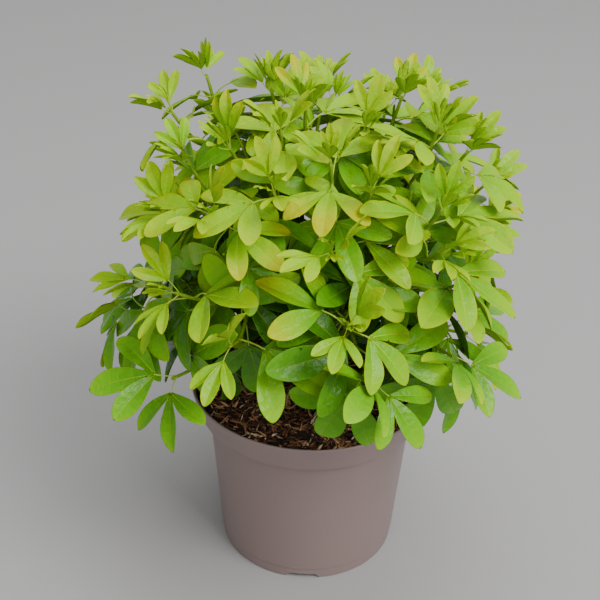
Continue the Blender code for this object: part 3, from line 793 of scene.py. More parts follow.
def add_pair(leaves, luck, limb, pair, quarter, age, mass, space, spare):
    place = back_along(*limb, pair[0])
    for half_turn in (0, math.pi):
        add_leaf(leaves, luck, place, quarter * math.pi / 2 + half_turn, pair, age, mass, space, spare)


def add_leaf(leaves, luck, place, turn, pair, age, mass, space, spare):
    leaf = fit_leaf(luck, place, turn, pair, mass, None, space, spare, INNER_TRIES)
    if leaf:
        leaves.append(Leaf(mass, age, *leaf))


def add_buds(leaves, luck, limb, pairs, age, mass):
    """The tuft of small upright leaves at the tip of a shoot."""
    for distance, opening, size, droop, quarter in pairs:
        place = back_along(*limb, distance)
        for half_turn in (0, math.pi):
            turn = quarter * math.pi / 2 + half_turn + luck.uniform(-0.3, 0.3)
            opening_now = math.radians(opening + luck.uniform(-5, 5))
            scale = size * luck.uniform(0.85, 1.12)
            droop_now = math.radians(droop + luck.uniform(-6, 6))
            root, end, matrix = leaf_pose(place, turn, opening_now, scale, droop_now)
            leaves.append(Leaf(mass, age, root, end, matrix, scale))


def within_dome(points):
    """Whether a leaf of the inner growth stays inside the dome of the shoots' tips."""
    return all(
        (point - HEART).length < (crown_point((point - HEART).normalized(), INNER_REACH) - HEART).length
        for point in points
    )


def fit_side_shoot(luck, place, turn, space, spare):
    """A short shoot from the side of a twig that reaches free space in the crown, or nothing."""
    middle, way, radius, across = place
    for attempt in range(8):
        spread = 0.1 + 0.08 * attempt
        side = Matrix.Rotation(turn + luck.uniform(-spread, spread), 3, way) @ across
        out = (way * 0.5 + side * 0.8).normalized()
        heading = (way * 0.6 + side * 0.4 + Z_AXIS * 0.5).normalized()
        length = luck.uniform(*SIDE_SHOOT_LENGTH)
        end = middle + (out + heading).normalized() * length
        path = bent_path(middle, out, end, heading, TWIG_STEPS)
        radii = taper(*SIDE_SHOOT_RADII, TWIG_STEPS + 1)
        clear = swept([path[0].lerp(path[1], 0.4), *path[1:]], [0.0022] * (TWIG_STEPS + 1), 3)
        if in_crown([end]) and space.free(*clear, spare):
            return path, radii, luck.uniform(0, math.pi)
    return None


# Meshes from arrays


class Pile:
    """Many small shapes gathered into the arrays of one mesh."""

    def __init__(self):
        self.points, self.loops, self.totals, self.finishes = [], [], [], []
        self.count = 0

    def add(self, points, loops, totals, finishes):
        self.points.append(np.asarray(points, float))
        self.loops.append(np.asarray(loops) + self.count)
        self.totals.append(np.asarray(totals))
        self.finishes.append(np.broadcast_to(finishes, len(totals)))
        self.count += len(points)

    def add_faces(self, points, faces, finish=0):
        loops = [corner for face in faces for corner in face]
        self.add([tuple(point) for point in points], loops, [len(face) for face in faces], finish)

    def piece(self, name, materials, slot):
        points = np.concatenate(self.points)
        loops = np.concatenate(self.loops)
        totals = np.concatenate(self.totals)
        mesh = bpy.data.meshes.new(name)
        mesh.vertices.add(len(points))
        mesh.vertices.foreach_set("co", points.ravel())
        mesh.loops.add(len(loops))
        mesh.loops.foreach_set("vertex_index", loops)
        mesh.polygons.add(len(totals))
        mesh.polygons.foreach_set("loop_start", np.concatenate(([0], np.cumsum(totals)[:-1])))
        mesh.polygons.foreach_set("loop_total", totals)
        mesh.polygons.foreach_set("material_index", np.concatenate(self.finishes))
        mesh.update(calc_edges=True)
        mesh.validate()
        mesh.shade_smooth()
        for finish in materials:
            mesh.materials.append(finish)
        made = bpy.data.objects.new(name, mesh)
        bpy.context.scene.collection.objects.link(made)
        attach(made, "root")
        return made


# Leaves as the eye sees them: folded blades with a pale midrib and rim, a paler underside and a curved stalk

ROWS = 16
ACROSS = (-1, -0.9, -0.5, -0.1, 0.1, 0.5, 0.9, 1)
SIDES = np.sign(ACROSS)
RIB, LAMINA, RIM, UNDER = range(4)
STRIPS = (RIM, LAMINA, LAMINA, RIB, LAMINA, LAMINA, RIM)
STRIP_MIDDLES = (0.95, 0.7, 0.3, 0, 0.3, 0.7, 0.95)
RIB_HALF = 0.00055
RIM_WIDE = 0.0006
BLADE_THICK = 0.0004
RIB_PROUD = 0.0005
VEINS = 4.5
VEIN_SLANT = 0.9
QUILTING = 0.00022


def blade_layout():
    """Corners of the faces of one leaflet, and for each face its place and the part it belongs to."""
    wide = len(ACROSS)
    tip, under = ROWS * wide, ROWS * wide + 1
    loops, totals, forth, out, part = [], [], [], [], []

    def face(corners, along, across, kind):
        loops.extend(corners)
        totals.append(len(corners))
        forth.append(along)
        out.append(across)
        part.append(kind)

    for row in range(ROWS):
        along = (row + 0.5) / ROWS
        last = row == ROWS - 1
        top = [row * wide + column for column in range(wide)]
        for column in range(wide - 1):
            a, b = top[column], top[column + 1]
            corners = (a, b, tip) if last else (a, b, b + wide, a + wide)
            face(corners, along, STRIP_MIDDLES[column], STRIPS[column])
        low = [top[0], *range(under + row * 3, under + row * 3 + 3), top[-1]]
        after = [top[0] + wide, *range(under + row * 3 + 3, under + row * 3 + 6), top[-1] + wide]
        for column in range(4):
            a, b = low[column], low[column + 1]
            corners = (b, a, tip) if last else (b, a, after[column], after[column + 1])
            face(corners, along, 0.5, UNDER)
    foot = [*range(wide)]
    face([*foot[::-1], *range(under, under + 3)], 0, 0, UNDER)
    return np.array(loops), np.array(totals), np.array(forth), np.array(out), np.array(part)


LOOPS, TOTALS, FORTH, OUT, PART = blade_layout()


def blade_points(luck, length, narrow, fold, arch):
    """Points of one leaflet along +Y: obovate, folded up along its midrib and arched down to its tip."""
    share = np.linspace(0, 1, ROWS + 1)
    forth = 1 - (1 - share) ** 1.25
    outline = forth**1.20 * (1 - forth) ** 0.72 + 0.045 * (1 - forth) ** 3
    half = length * LEAFLET_HALF_WIDTH * narrow * outline / outline.max()
    sway = luck.uniform(-0.05, 0.05) * length * forth**2
    twist = luck.uniform(-0.3, 0.3) * forth
    wave, phase = luck.uniform(0.0002, 0.0008), luck.uniform(0, math.tau)
    dome = luck.uniform(0.03, 0.09)
    angle = arch * forth
    centre_y = length * np.sin(angle) / arch
    centre_z = -length * (1 - np.cos(angle)) / arch

    def placed(across, row, drop=0):
        """Points across one row, at distances from the midrib."""
        out = np.abs(across) / max(half[row], 1e-5)
        up = fold * np.abs(across) + dome * half[row] * np.sin(np.pi * np.clip(out, 0, 1))
        ripple = np.sin(math.tau * 1.6 * forth[row] + phase + (across > 0) * 2.1)
        up = up + wave * ripple * out**2 * min(1, half[row] / 0.004) - drop
        between_veins = np.sin(math.tau * (VEINS * forth[row] - VEIN_SLANT * out))
        up = up + QUILTING * between_veins * (4 * out * np.clip(1 - out, 0, 1)) ** 2 * min(1, half[row] / 0.004)
        x = across * math.cos(twist[row]) - up * math.sin(twist[row])
        z = across * math.sin(twist[row]) + up * math.cos(twist[row])
        bend = angle[row]
        y, z = centre_y[row] + z * math.sin(bend), centre_z[row] + z * math.cos(bend)
        return np.stack((x + sway[row], y, z), 1)

    top, low = [], []
    for row in range(ROWS):
        reach = half[row]
        rib = min(RIB_HALF * (1 - 0.8 * forth[row]), reach * 0.4)
        rim = max(reach - RIM_WIDE, reach * 0.7)
        half_row = (reach, rim, reach * 0.5, rib)
        top.append(placed(SIDES * np.array((*half_row, *reversed(half_row))), row))
        thick = BLADE_THICK * min(1, reach / 0.002)
        low.append(placed(np.array((-reach * 0.5, 0, reach * 0.5)), row, thick))
        low[-1][1, 2] -= RIB_PROUD * (1 - forth[row])
    tip = np.array(((sway[-1], centre_y[-1], centre_z[-1]),))
    return np.concatenate((*top, tip, *low))


def leaf_mesh_points(luck, leaf):
    """Points of a leaf's three leaflets, in the model's frame."""
    young = leaf.age <= 1
    fold = luck.uniform(0.30, 0.60) if young else luck.uniform(0.16, 0.42)
    narrow = luck.uniform(0.70, 0.84) if young else luck.uniform(0.88, 1.02)
    narrow *= 0.8 if leaf.age == 0 else 1
    gather = (0.35, 0.62)[leaf.age] if young else 1
    arch = luck.uniform(0.05, 0.35) if young else luck.uniform(0.10, 0.45)
    matrix = np.array(leaf.matrix)
    blades = []
    for angle, share in ((-SIDE_ANGLE, SIDE_LEAFLET), (0, 1.0), (SIDE_ANGLE, SIDE_LEAFLET)):
        share *= luck.uniform(0.94, 1.04) * leaf.stretch * (1.08 if leaf.end.z < HEIGHT_MIDDLE else 1.02)
        spread = math.radians(angle + luck.uniform(-5, 5)) * gather
        points = blade_points(luck, LEAFLET * share, narrow, fold, arch + luck.uniform(-0.04, 0.08))
        roll = luck.uniform(-0.16, 0.16) - math.copysign(0.10, angle) * (angle != 0)
        pitch = luck.uniform(-0.07, 0.07)
        turn = Matrix.Rotation(spread, 3, "Z") @ Matrix.Rotation(pitch, 3, "X")
        turn = turn @ Matrix.Rotation(roll, 3, "Y")
        points = points @ np.array(turn).T + np.array((0, 0, 0.0002))
        blades.append(points @ matrix[:3, :3].T + matrix[:3, 3])
    return blades


# Tints of the leaves, each a plain colour: green levels from the darkest, then gold
KEY_TINTS = (  # level, colour
    (0, (0.019, 0.075, 0.001)),
    (4, (0.051, 0.198, 0.001)),
    (8, (0.117, 0.360, 0)),
    (12, (0.215, 0.465, 0)),
    (16, (0.290, 0.485, 0)),
    (18, (0.345, 0.495, 0)),
    (20, (0.390, 0.480, 0)),
    (22, (0.420, 0.450, 0)),
)
GREENEST, GOLD = 0, 22
TOP_GREEN = 18
SHADED_RIM = 6
EXTRA_TINTS = (  # name, colour
    ("leaf_rib_pale", (0.37, 0.50, 0.01)),
    ("leaf_rib_mid", (0.23, 0.38, 0.01)),
    ("leaf_rib_green", (0.13, 0.27, 0.01)),
    ("leaf_rim_pale", (0.40, 0.49, 0)),
    ("leaf_rim_green", (0.19, 0.37, 0)),
    ("leaf_under_pale", (0.28, 0.47, 0.01)),
    ("leaf_under_green", (0.08, 0.20, 0.01)),
)
RIB_PALE, RIB_MID, RIB_GREEN, RIM_PALE, RIM_GREEN, UNDER_PALE, UNDER_GREEN = range(GOLD + 1, GOLD + 8)
AGE_TINTS = (  # level at the foot, rise to the tip
    (11.4, 6.8),
    (10.8, 7.6),
    (9.2, 8.4),
    (7.8, 7.6),
    (5.6, 5.8),
    (3.6, 4.2),
)
LIGHT_LEVEL = 11.5
MID_LEVEL = 7.5
GILDED_SHARE = 0.10
HEIGHT_MIDDLE = 0.335
HEIGHT_RISE = 38
LOW_LEVEL, HIGH_LEVEL = -7.0, 2.0
# Where the painted shade of leaves deep inside the crown begins, and how fast it darkens them
SHADE_START = 0.92
SHADE_FALL = 11


def tint_colour(level):
    """The colour of a level, between the key tints on either side of it."""
    for (low, dark), (high, light) in zip(KEY_TINTS, KEY_TINTS[1:]):
        if level <= high:
            share = (level - low) / (high - low)
            return tuple(d + (l - d) * share for d, l in zip(dark, light))
    return KEY_TINTS[-1][1]


def leaf_tints(luck, leaf, vigour):
    """The tint of each face of a leaflet of this leaf."""
    foot, rise = AGE_TINTS[leaf.age]
    height = max(LOW_LEVEL, min(HIGH_LEVEL, (leaf.end.z - HEIGHT_MIDDLE) * HEIGHT_RISE))
    if leaf.age <= 1:
        height *= 0.4
    foot += height
    rise *= 1 + min(0, height) * 0.07
    # Leaves deep inside the crown get a lower level: painted shade, on top of the darker tints of older leaves
    depth = (leaf.end - HEART).length / (crown_point((leaf.end - HEART).normalized()) - HEART).length
    foot += vigour + luck.uniform(-1.3, 1.3) + min(0, depth - SHADE_START) * SHADE_FALL
    rise += luck.uniform(-1.2, 1.2)
    level = foot + rise * FORTH**1.3 + (OUT - 0.5) * 0.5
    gilded = leaf.age in (1, 2, 3) and luck.random() < GILDED_SHARE
    if gilded:
        level = level + np.clip(FORTH - luck.uniform(0.1, 0.5), 0, 1) * luck.uniform(10, 16)
    finishes = np.clip(level, GREENEST, GOLD if gilded else TOP_GREEN).astype(int)
    # The middle level carries the painted shade too, so rib, rim and underside of deep leaves take darker tints
    middle = foot + rise / 2
    kind = 0 if middle > LIGHT_LEVEL else 1 if middle > MID_LEVEL else 2
    finishes[PART == RIB] = (RIB_PALE, RIB_MID, RIB_GREEN)[kind]
    if not gilded:
        finishes[PART == RIM] = (RIM_PALE, RIM_GREEN, SHADED_RIM)[kind]
    finishes[PART == UNDER] = (UNDER_PALE, UNDER_PALE, UNDER_GREEN)[kind]
    return finishes


PIECE_LEAVES = 185
VIGOUR_SPREAD = 2.6
VIGOUR_SCALE = 14
STALK_SIDES = 6


def build_leaves(leaves, materials, masses):
    """The leaves of neighbouring masses, joined into pieces."""
    by_mass = {mass: [leaf for leaf in leaves if leaf.mass == mass] for mass in range(masses)}
    batches = [[]]
    for mass in range(masses):
        if sum(len(by_mass[m]) for m in batches[-1]) + len(by_mass[mass]) > PIECE_LEAVES:
            batches.append([])
        batches[-1].append(mass)
    for number, batch in enumerate(batches, 1):
        pile = Pile()
        for mass in batch:
            for k, leaf in enumerate(by_mass[mass]):
                luck = random.Random(mass * 1000 + k)
                vigour = VIGOUR_SPREAD * noise.noise(leaf.root * VIGOUR_SCALE)
                finishes = leaf_tints(luck, leaf, vigour)
                for points in leaf_mesh_points(luck, leaf):
                    pile.add(points, LOOPS, TOTALS, finishes)
        piece = pile.piece(f"leaves_{number:02}", materials, "golden_leaf")
        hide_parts(*(f"foliage_{mass + 1:02}" for mass in batch))


def build_stalks(leaves, materials):
    pile = Pile()
    for k, leaf in enumerate(leaves):
        luck = random.Random(50000 + k)
        along = leaf.end - leaf.root
        sag = random_way(luck) * along.length * 0.05 - Z_AXIS * along.length * 0.04
        blade_way = (leaf.matrix.to_3x3() @ Vector((0, 1, 0))).normalized()
        first_way = (along.normalized() + Z_AXIS * 0.15).normalized()
        path = bent_path(leaf.root, first_way, leaf.end, blade_way, 5)
        path = [point + sag * math.sin(math.pi * s / 5) for s, point in enumerate(path)]
        path.append(leaf.end + blade_way * 0.0015)
        radii = [STALK_RADIUS * leaf.size * share for share in (1.25, 0.95, 0.80, 0.75, 0.78, 0.90, 0.55)]
        pile.add_faces(*swept(path, radii, STALK_SIDES), 0 if leaf.age <= 2 else 1)
    return pile.piece("leaf_stalks", materials, "golden_leaf")


# Bark: trunk, boughs and twigs with rounded relief


def smooth_path(path, radii, parts):
    """A curve through the points of a path, with its radii, cut into more parts."""
    ends = [path[0] * 2 - path[1], *path, path[-1] * 2 - path[-2]]
    fine, widths = [], []
    for k in range(len(path) - 1):
        a, b, c, d = ends[k : k + 4]
        for part in range(parts):
            t = part / parts
            square, cube = a * 2 - b * 5 + c * 4 - d, b * 3 - a - c * 3 + d
            fine.append((b * 2 + (c - a) * t + square * t**2 + cube * t**3) / 2)
            widths.append(radii[k] + (radii[k + 1] - radii[k]) * t)
    return [*fine, path[-1]], [*widths, radii[-1]]


def rough(points, amount, scale):
    """Moves points about with two sizes of noise."""
    moved = []
    for point in points:
        shift = noise.noise_vector(point * scale) * amount
        shift += noise.noise_vector(point * scale * 2.7) * amount * 0.4
        moved.append(point + shift)
    return moved


def build_bark(fork, limbs, materials):
    pile = Pile()
    trunk_radii = [radius for _, radius in TRUNK_RINGS]
    path, radii = smooth_path(fork, trunk_radii, 5)
    points, faces = swept(path, radii, 28)
    ridged = []
    for k, point in enumerate(points):
        ring = k // 28
        out = point - path[ring]
        height = ring / len(path)
        furrow = noise.noise(Vector((k % 28 * 0.9, height * 4, 1.7)))
        ridged.append(path[ring] + out * (1 + 0.10 * furrow))
    pile.add_faces(rough(ridged, 0.0004, 260), faces, 0)
    for _, parent, path, _, radii in limbs:
        path, radii = smooth_path(path, radii, 5)
        radii = [radius * (1 + 0.06 * noise.noise(point * 90)) for point, radius in zip(path, radii)]
        points, faces = swept(path, radii, 12)
        finish = np.full(len(faces), 0 if parent is None else 1)
        if parent is None:
            finish[len(faces) // 3 :] = 1
        loops = [corner for face in faces for corner in face]
        pile.add(
            [tuple(point) for point in rough(points, 0.00018, 320)],
            loops,
            [len(face) for face in faces],
            finish,
        )
    piece = pile.piece("bark", materials, "green_bark")
    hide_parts("trunk", *(f"bough_{k + 1:02}" for k in range(len(limbs))))
    return piece


def build_twigs(stems, plans, finer, materials):
    pile = Pile()
    limbs = [(path, radii, 0) for path, radii in stems]
    limbs += [(path, radii, 1) for _, _, shoots in plans for _, path, radii, _ in shoots]
    limbs += [(path, radii, 1) for path, radii, _ in finer]
    for path, radii, finish in limbs:
        path, radii = smooth_path(path, radii, 5)
        radii = [radius * (1 + 0.10 * noise.noise(point * 140)) for point, radius in zip(path, radii)]
        pile.add_faces(*swept(path, radii, 8), finish)
    piece = pile.piece("twigs", materials, "green_bark")
    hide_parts(*(f"foliage_{k + 1:02}" for k in range(len(plans))))
    return piece


# Pot: turned from a rounded profile

FINE_SIDES = 192


def rounded(profile, steps):
    """A profile with its corners rounded: each corner is (radius, height, rounding)."""
    smooth = [profile[0][:2]]
    for before, corner, after in zip(profile, profile[1:], profile[2:]):
        middle = Vector(corner[:2])
        to_before, to_after = Vector(before[:2]) - middle, Vector(after[:2]) - middle
        reach = min(corner[2], to_before.length * 0.49, to_after.length * 0.49)
        if reach <= 0:
            smooth.append(tuple(middle))
            continue
        start, end = middle + to_before.normalized() * reach, middle + to_after.normalized() * reach
        for k in range(steps + 1):
            t = k / steps
            smooth.append(tuple(start * (1 - t) ** 2 + middle * 2 * t * (1 - t) + end * t * t))
    smooth.append(profile[-1][:2])
    return smooth


def pot_inside(height):
    """The radius of the pot's inner face at a height."""
    ledge = POT_HEIGHT - BAND_HEIGHT
    if height > ledge:
        share = (height - ledge) / BAND_HEIGHT
        return BAND_RADIUS - BAND_WALL + (RIM_RADIUS - BAND_RADIUS) * share
    share = height / ledge
    return FOOT_RADIUS - WALL + (WALL_TOP_RADIUS - FOOT_RADIUS) * share


def object_from(name, points, faces):
    mesh = bpy.data.meshes.new(name)
    mesh.from_pydata([tuple(point) for point in points], [], faces)
    mesh.validate()
    shaped = bmesh.new()
    shaped.from_mesh(mesh)
    bmesh.ops.recalc_face_normals(shaped, faces=shaped.faces)
    shaped.to_mesh(mesh)
    shaped.free()
    made = bpy.data.objects.new(name, mesh)
    bpy.context.scene.collection.objects.link(made)
    return made


def turned(name, profile, sides):
    """A closed solid turned about the Z axis from a profile of (radius, height) points, pole to pole."""
    points, rings = [], []
    for radius, height in profile:
        count = sides if radius > 0 else 1
        rings.append(range(len(points), len(points) + count))
        for k in range(count):
            turn = math.tau * k / sides
            points.append((radius * math.cos(turn), radius * math.sin(turn), height))
    faces = []
    for low, high in zip(rings, rings[1:]):
        for k in range(sides):
            after = (k + 1) % sides
            corners = [ring[k % len(ring)] for ring, k in ((low, k), (low, after), (high, after), (high, k))]
            faces.append(list(dict.fromkeys(corners)))
    return object_from(name, points, faces)


def cut(shape, cutter):
    """Takes the cutter's space out of the shape, and removes the cutter."""
    boolean = shape.modifiers.new("cut", "BOOLEAN")
    boolean.operation = "DIFFERENCE"
    boolean.solver = "EXACT"
    boolean.object = cutter
    bpy.context.view_layer.update()
    graph = bpy.context.evaluated_depsgraph_get()
    mesh = bpy.data.meshes.new_from_object(shape.evaluated_get(graph))
    shape.modifiers.clear()
    shape.data = mesh
    bpy.data.objects.remove(cutter)


def notch_cutter(turn):
    """A wedge that opens the foot ring where water runs out."""
    out = bearing(turn, 0)
    beside = Z_AXIS.cross(out)
    points = []
    for reach in (FOOT_RADIUS - FOOT_WIDTH * 3, FOOT_RADIUS + FOOT_WIDTH):
        for half, height in ((NOTCH_WIDTH_FOOT / 2, -0.0005), (NOTCH_WIDTH_TOP / 2, NOTCH_HEIGHT)):
            points.append(out * reach - beside * half + Z_AXIS * height)
            points.append(out * reach + beside * half + Z_AXIS * height)
    faces = ((0, 1, 3, 2), (4, 6, 7, 5), (0, 4, 5, 1), (2, 3, 7, 6), (0, 2, 6, 4), (1, 5, 7, 3))
    return object_from("notch_cutter", points, faces)


def drain_cutter(turn):
    centre = bearing(turn, 0) * DRAIN_CIRCLE
    ends = [centre, centre + Z_AXIS * (BASE_UNDERSIDE + WALL * 3)]
    return object_from("drain_cutter", *swept(ends, (DRAIN_RADIUS, DRAIN_RADIUS), 24))


def build_pot(finish):
    ledge = POT_HEIGHT - BAND_HEIGHT
    floor = BASE_UNDERSIDE + WALL
    skirt = 0.0115
    profile = (
        (0, BASE_UNDERSIDE, 0),
        (FOOT_RADIUS - FOOT_WIDTH, BASE_UNDERSIDE, 0.001),
        (FOOT_RADIUS - FOOT_WIDTH, 0, 0.0006),
        (FOOT_RADIUS - 0.0002, 0, 0.0012),
        (FOOT_RADIUS + 0.0006, skirt, 0.0006),
        (FOOT_RADIUS + 0.0013, skirt + 0.0008, 0.0006),
        (WALL_TOP_RADIUS, ledge - 0.003, 0.003),
        (BAND_RADIUS - 0.0008, ledge - 0.0003, 0.0016),
        (BAND_RADIUS + 0.0003, ledge + 0.0020, 0.0015),
        (RIM_RADIUS - 0.0006, POT_HEIGHT - 0.0045, 0.002),
        (RIM_RADIUS, POT_HEIGHT - 0.0028, 0.0012),
        (RIM_RADIUS - 0.0001, POT_HEIGHT, 0.0011),
        (pot_inside(POT_HEIGHT) + 0.0002, POT_HEIGHT, 0.0010),
        (pot_inside(ledge + 0.002), ledge + 0.002, 0.002),
        (pot_inside(ledge), ledge, 0.002),
        (pot_inside(floor), floor, 0.001),
        (0, floor, 0),
    )
    pot = turned("nursery_pot", rounded(profile, 4), FINE_SIDES)
    for k in range(NOTCH_COUNT):
        cut(pot, notch_cutter(NOTCH_TURN + 360 / NOTCH_COUNT * k))
    for k in range(DRAIN_COUNT):
        cut(pot, drain_cutter(360 / DRAIN_COUNT * (k + 0.5)))
    pot.data.materials.clear()
    pot.data.materials.append(finish)
    pot.data.shade_smooth()
    pot.data.set_sharp_from_angle(angle=math.radians(40))
    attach(pot, "root")
    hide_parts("pot")
    return pot


# Soil: a bumpy bed with shredded bark on it

SOIL_RINGS = 46
SOIL_TURNS = 160
SHREDS = 3600
SHRED_LENGTH = (0.005, 0.021)
SHRED_TINTS = (
    ("shred_black", (0.030, 0.016, 0.010), 0.9),
    ("shred_umber", (0.115, 0.042, 0.018), 0.8),
    ("shred_brown", (0.270, 0.110, 0.045), 0.7),
    ("shred_tan", (0.560, 0.300, 0.140), 0.65),
    ("shred_straw", (0.820, 0.590, 0.370), 0.6),
)
SHRED_SHARES = (0.26, 0.30, 0.23, 0.14, 0.07)


def soil_height(x, y):
    reach = math.hypot(x, y)
    edge = pot_inside(SOIL_EDGE_HEIGHT)
    share = min(1, max(0, (reach - SOIL_LEVEL_RADIUS) / (edge - SOIL_LEVEL_RADIUS)))
    level = SOIL_HEIGHT - 0.0012 + (SOIL_EDGE_HEIGHT - SOIL_HEIGHT) * share
    lumps = noise.noise(Vector((x, y, 0.3)) * 55) * 0.0022 + noise.noise(Vector((x, y, 1.1)) * 170) * 0.0011
    return level + lumps


def build_soil(materials):
    edge = pot_inside(SOIL_EDGE_HEIGHT) - 0.0005
    points = [(0, 0, soil_height(0, 0))]
    for ring in range(1, SOIL_RINGS + 1):
        reach = edge * ring / SOIL_RINGS
        for k in range(SOIL_TURNS):
            turn = math.tau * k / SOIL_TURNS
            x, y = reach * math.cos(turn), reach * math.sin(turn)
            points.append((x, y, soil_height(x, y)))
    floor = BASE_UNDERSIDE + WALL + CLEARANCE
    ledge = POT_HEIGHT - BAND_HEIGHT
    for height in (ledge + 0.003, ledge, floor):
        reach = pot_inside(height) - 0.0006
        for k in range(SOIL_TURNS):
            turn = math.tau * k / SOIL_TURNS
            points.append((reach * math.cos(turn), reach * math.sin(turn), height))
    points.append((0, 0, floor))
    faces = [(0, 1 + k, 1 + (k + 1) % SOIL_TURNS) for k in range(SOIL_TURNS)]
    for ring in range(SOIL_RINGS + 2):
        low = 1 + ring * SOIL_TURNS
        for k in range(SOIL_TURNS):
            after = (k + 1) % SOIL_TURNS
            faces.append((low + k, low + SOIL_TURNS + k, low + SOIL_TURNS + after, low + after))
    low = 1 + (SOIL_RINGS + 2) * SOIL_TURNS
    faces += [(low + k, len(points) - 1, low + (k + 1) % SOIL_TURNS) for k in range(SOIL_TURNS)]
    pile = Pile()
    pile.add_faces([Vector(point) for point in points], faces)
    bed = pile.piece("mulch_bed", materials[:1], "bark_mulch")
    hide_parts("soil")


def build_shreds(materials):
    """Shreds of bark lying on the bed, most of them flat and a few standing."""
    pile = Pile()
    long_faces = tuple((a, b, b + 4, a + 4) for a, b in ((0, 1), (1, 2), (2, 3), (3, 0)))
    layout = [tuple(reversed(range(4)))]
    for ring in range(3):
        layout += [tuple(corner + ring * 4 for corner in face) for face in long_faces]
    layout.append((12, 13, 14, 15))
    loops = [corner for face in layout for corner in face]
    totals = [len(face) for face in layout]
    luck = random.Random(77)
    edge = pot_inside(SOIL_EDGE_HEIGHT) - 0.002
    trunk_foot = TRUNK_RINGS[0][1] + 0.001
    for _ in range(SHREDS):
        reach = edge * math.sqrt(luck.uniform(0.012, 1))
        turn = luck.uniform(0, math.tau)
        x, y = reach * math.cos(turn), reach * math.sin(turn)
        length = luck.uniform(*SHRED_LENGTH) * luck.uniform(0.5, 1)
        wide = luck.uniform(0.0006, 0.0024)
        thick = wide * luck.uniform(0.35, 0.8)
        heading = luck.uniform(0, math.tau)
        tilt = luck.gauss(0, 0.28)
        along = bearing(math.degrees(heading), math.degrees(tilt))
        beside = along.cross(Z_AXIS).normalized()
        beside.rotate(Matrix.Rotation(luck.uniform(-0.8, 0.8), 3, along))
        up = beside.cross(along)
        lift = abs(math.sin(tilt)) * length * 0.42 + luck.uniform(0.0002, 0.0022)
        centre = Vector((x, y, soil_height(x, y) + lift))
        bend = luck.uniform(-0.12, 0.12) * length
        tips = (luck.uniform(0.15, 0.7), 1, luck.uniform(0.75, 1.1), luck.uniform(0.1, 0.6))
        points = []
        for s, share in enumerate((-0.5, -0.2, 0.2, 0.5)):
            middle = centre + along * (length * share) + beside * (bend * (1 - 4 * share * share))
            for a, b in ((-1, -1), (1, -1), (1, 1), (-1, 1)):
                points.append(middle + beside * (a * wide * tips[s] / 2) + up * (b * thick * tips[s] / 2))
        if any(math.hypot(p.x, p.y) > edge + 0.0022 or math.hypot(p.x, p.y) < trunk_foot for p in points):
            continue
        finish = luck.choices(range(len(SHRED_TINTS)), SHRED_SHARES)[0]
        pile.add([tuple(point) for point in points], loops, totals, finish)
    return pile.piece("mulch_shreds", materials, "bark_mulch")


# Materials


def new_material(name):
    made = bpy.data.materials.new(name)
    made.use_nodes = True
    return made, made.node_tree.nodes, made.node_tree.links, made.node_tree.nodes["Principled BSDF"]


def mottled(name, colour, roughness, amount, scale, bump, bump_scale, specular=0.5):
    """A finish whose colour wanders a little lighter and darker, with a fine bump."""
    made, nodes, links, shader = new_material(name)
    shader.inputs["Roughness"].default_value = roughness
    shader.inputs["Specular IOR Level"].default_value = specular
    place = nodes.new("ShaderNodeTexCoord")
    clouds = nodes.new("ShaderNodeTexNoise")
    clouds.inputs["Scale"].default_value = scale
    clouds.inputs["Detail"].default_value = 3
    ramp = nodes.new("ShaderNodeValToRGB")
    ramp.color_ramp.elements[0].position = 0.3
    ramp.color_ramp.elements[1].position = 0.7
    ramp.color_ramp.elements[0].color = (*(c * (1 - amount) for c in colour), 1)
    ramp.color_ramp.elements[1].color = (*(min(1, c * (1 + amount)) for c in colour), 1)
    links.new(place.outputs["Object"], clouds.inputs["Vector"])
    links.new(clouds.outputs["Fac"], ramp.inputs["Fac"])
    links.new(ramp.outputs["Color"], shader.inputs["Base Color"])
    grain = nodes.new("ShaderNodeTexNoise")
    grain.inputs["Scale"].default_value = bump_scale
    grain.inputs["Detail"].default_value = 4
    bumps = nodes.new("ShaderNodeBump")
    bumps.inputs["Strength"].default_value = bump
    bumps.inputs["Distance"].default_value = 0.001
    links.new(place.outputs["Object"], grain.inputs["Vector"])
    links.new(grain.outputs["Fac"], bumps.inputs["Height"])
    links.new(bumps.outputs["Normal"], shader.inputs["Normal"])
    return made, shader


def leaf_material(name, colour, roughness, specular):
    """A plain leaf colour, with the soft quilting between its veins as bumps."""
    made, nodes, links, shader = new_material(name)
    shader.inputs["Base Color"].default_value = (*colour, 1)
    shader.inputs["Roughness"].default_value = roughness
    shader.inputs["Specular IOR Level"].default_value = specular
    place = nodes.new("ShaderNodeTexCoord")
    quilting = nodes.new("ShaderNodeTexNoise")
    quilting.inputs["Scale"].default_value = 190
    quilting.inputs["Detail"].default_value = 2
    bumps = nodes.new("ShaderNodeBump")
    bumps.inputs["Strength"].default_value = 1.0
    bumps.inputs["Distance"].default_value = 0.001
    links.new(place.outputs["Object"], quilting.inputs["Vector"])
    links.new(quilting.outputs["Fac"], bumps.inputs["Height"])
    links.new(bumps.outputs["Normal"], shader.inputs["Normal"])
    return made


# Studio: floor, lights and camera

CAMERA_PLACE = Vector((-0.0122, -0.8869, 0.7728))
CAMERA_PITCH = 29.82
CAMERA_ROLL = 1.27
CAMERA_LENS = 66
FLOOR_SIZE = 12.0


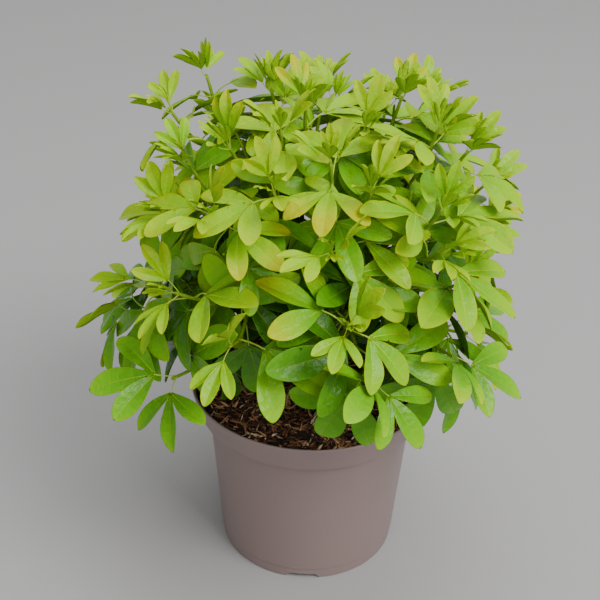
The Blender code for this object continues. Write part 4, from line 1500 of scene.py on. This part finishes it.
def build_studio():
    pale, nodes, links, shader = new_material("studio_floor")
    shader.inputs["Base Color"].default_value = (0.345, 0.34, 0.35, 1)
    shader.inputs["Roughness"].default_value = 0.8
    half = FLOOR_SIZE / 2
    mesh = bpy.data.meshes.new("studio_floor")
    corners = [(-half, -half, 0), (half, -half, 0), (half, half, 0), (-half, half, 0)]
    mesh.from_pydata(corners, [], [(0, 1, 2, 3)])
    mesh.materials.append(pale)
    floor = bpy.data.objects.new("studio_floor", mesh)
    bpy.context.scene.collection.objects.link(floor)
    floor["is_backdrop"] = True


def area_light(name, place, target, size, power, colour):
    light = bpy.data.lights.new(name, "AREA")
    light.size = size
    light.energy = power
    light.color = colour
    made = bpy.data.objects.new(name, light)
    made.location = place
    made.rotation_euler = (Vector(target) - Vector(place)).to_track_quat("-Z", "Y").to_euler()
    bpy.context.scene.collection.objects.link(made)


def build_lights():
    middle = (0, 0, 0.25)
    area_light("key_light", (2.4, -2.3, 3.8), middle, 2.4, 240, (1.0, 0.99, 0.95))
    area_light("fill_light", (0.5, -4.2, 2.4), middle, 2.6, 56, (1.0, 1.0, 1.0))
    area_light("top_light", (0.4, 0.8, 4.6), middle, 3.6, 110, (1.0, 1.0, 0.98))
    world = bpy.data.worlds.new("studio_air")
    world.use_nodes = True
    world.node_tree.nodes["Background"].inputs["Color"].default_value = (1.0, 1.0, 0.97, 1)
    world.node_tree.nodes["Background"].inputs["Strength"].default_value = 0.52
    bpy.context.scene.world = world


def build_camera():
    data = bpy.data.cameras.new("camera")
    data.lens = CAMERA_LENS
    data.sensor_width = 36
    camera = bpy.data.objects.new("camera", data)
    camera.matrix_world = (
        Matrix.Translation(CAMERA_PLACE)
        @ Matrix.Rotation(math.radians(90 - CAMERA_PITCH), 4, "X")
        @ Matrix.Rotation(math.radians(CAMERA_ROLL), 4, "Z")
    )
    bpy.context.scene.collection.objects.link(camera)
    bpy.context.scene.camera = camera


def main():
    clear_scene()
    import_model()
    build_studio()
    build_lights()
    build_camera()
    plastic, _ = mottled("taupe_plastic", (0.232, 0.168, 0.160), 0.38, 0.02, 9, 0.06, 900)
    build_pot(plastic)
    shreds = [mottled(name, colour, rough_, 0.25, 220, 0.5, 900)[0] for name, colour, rough_ in SHRED_TINTS]
    build_soil(shreds)
    build_shreds(shreds)
    fork, limbs, stems, plans, finer, leaves = grow_crown()
    old_bark, _ = mottled("bark_brown", (0.13, 0.095, 0.055), 0.8, 0.25, 160, 0.6, 700)
    young_bark, _ = mottled("bark_green", (0.150, 0.265, 0.010), 0.7, 0.18, 110, 0.3, 600, 0.08)
    build_bark(fork, limbs, [old_bark, young_bark])
    build_twigs(stems, plans, finer, [old_bark, young_bark])
    tints = [leaf_material(f"leaf_{k:02}", tint_colour(k), 0.29, 0.27 - 0.009 * k) for k in range(GOLD + 1)]
    tints += [leaf_material(name, colour, 0.55, 0.08) for name, colour in EXTRA_TINTS]
    build_leaves(leaves, tints, len(plans))
    stalk_pale, _ = mottled("stalk_pale", (0.36, 0.52, 0.03), 0.45, 0.08, 90, 0.1, 700)
    stalk_green, _ = mottled("stalk_green", (0.20, 0.36, 0.02), 0.45, 0.08, 90, 0.1, 700)
    build_stalks(leaves, [stalk_pale, stalk_green])
    print("LEAVES", len(leaves), "SIDE SHOOTS", len(finer))
    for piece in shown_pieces():
        print("PIECE", piece.name, len(piece.data.polygons))


main()
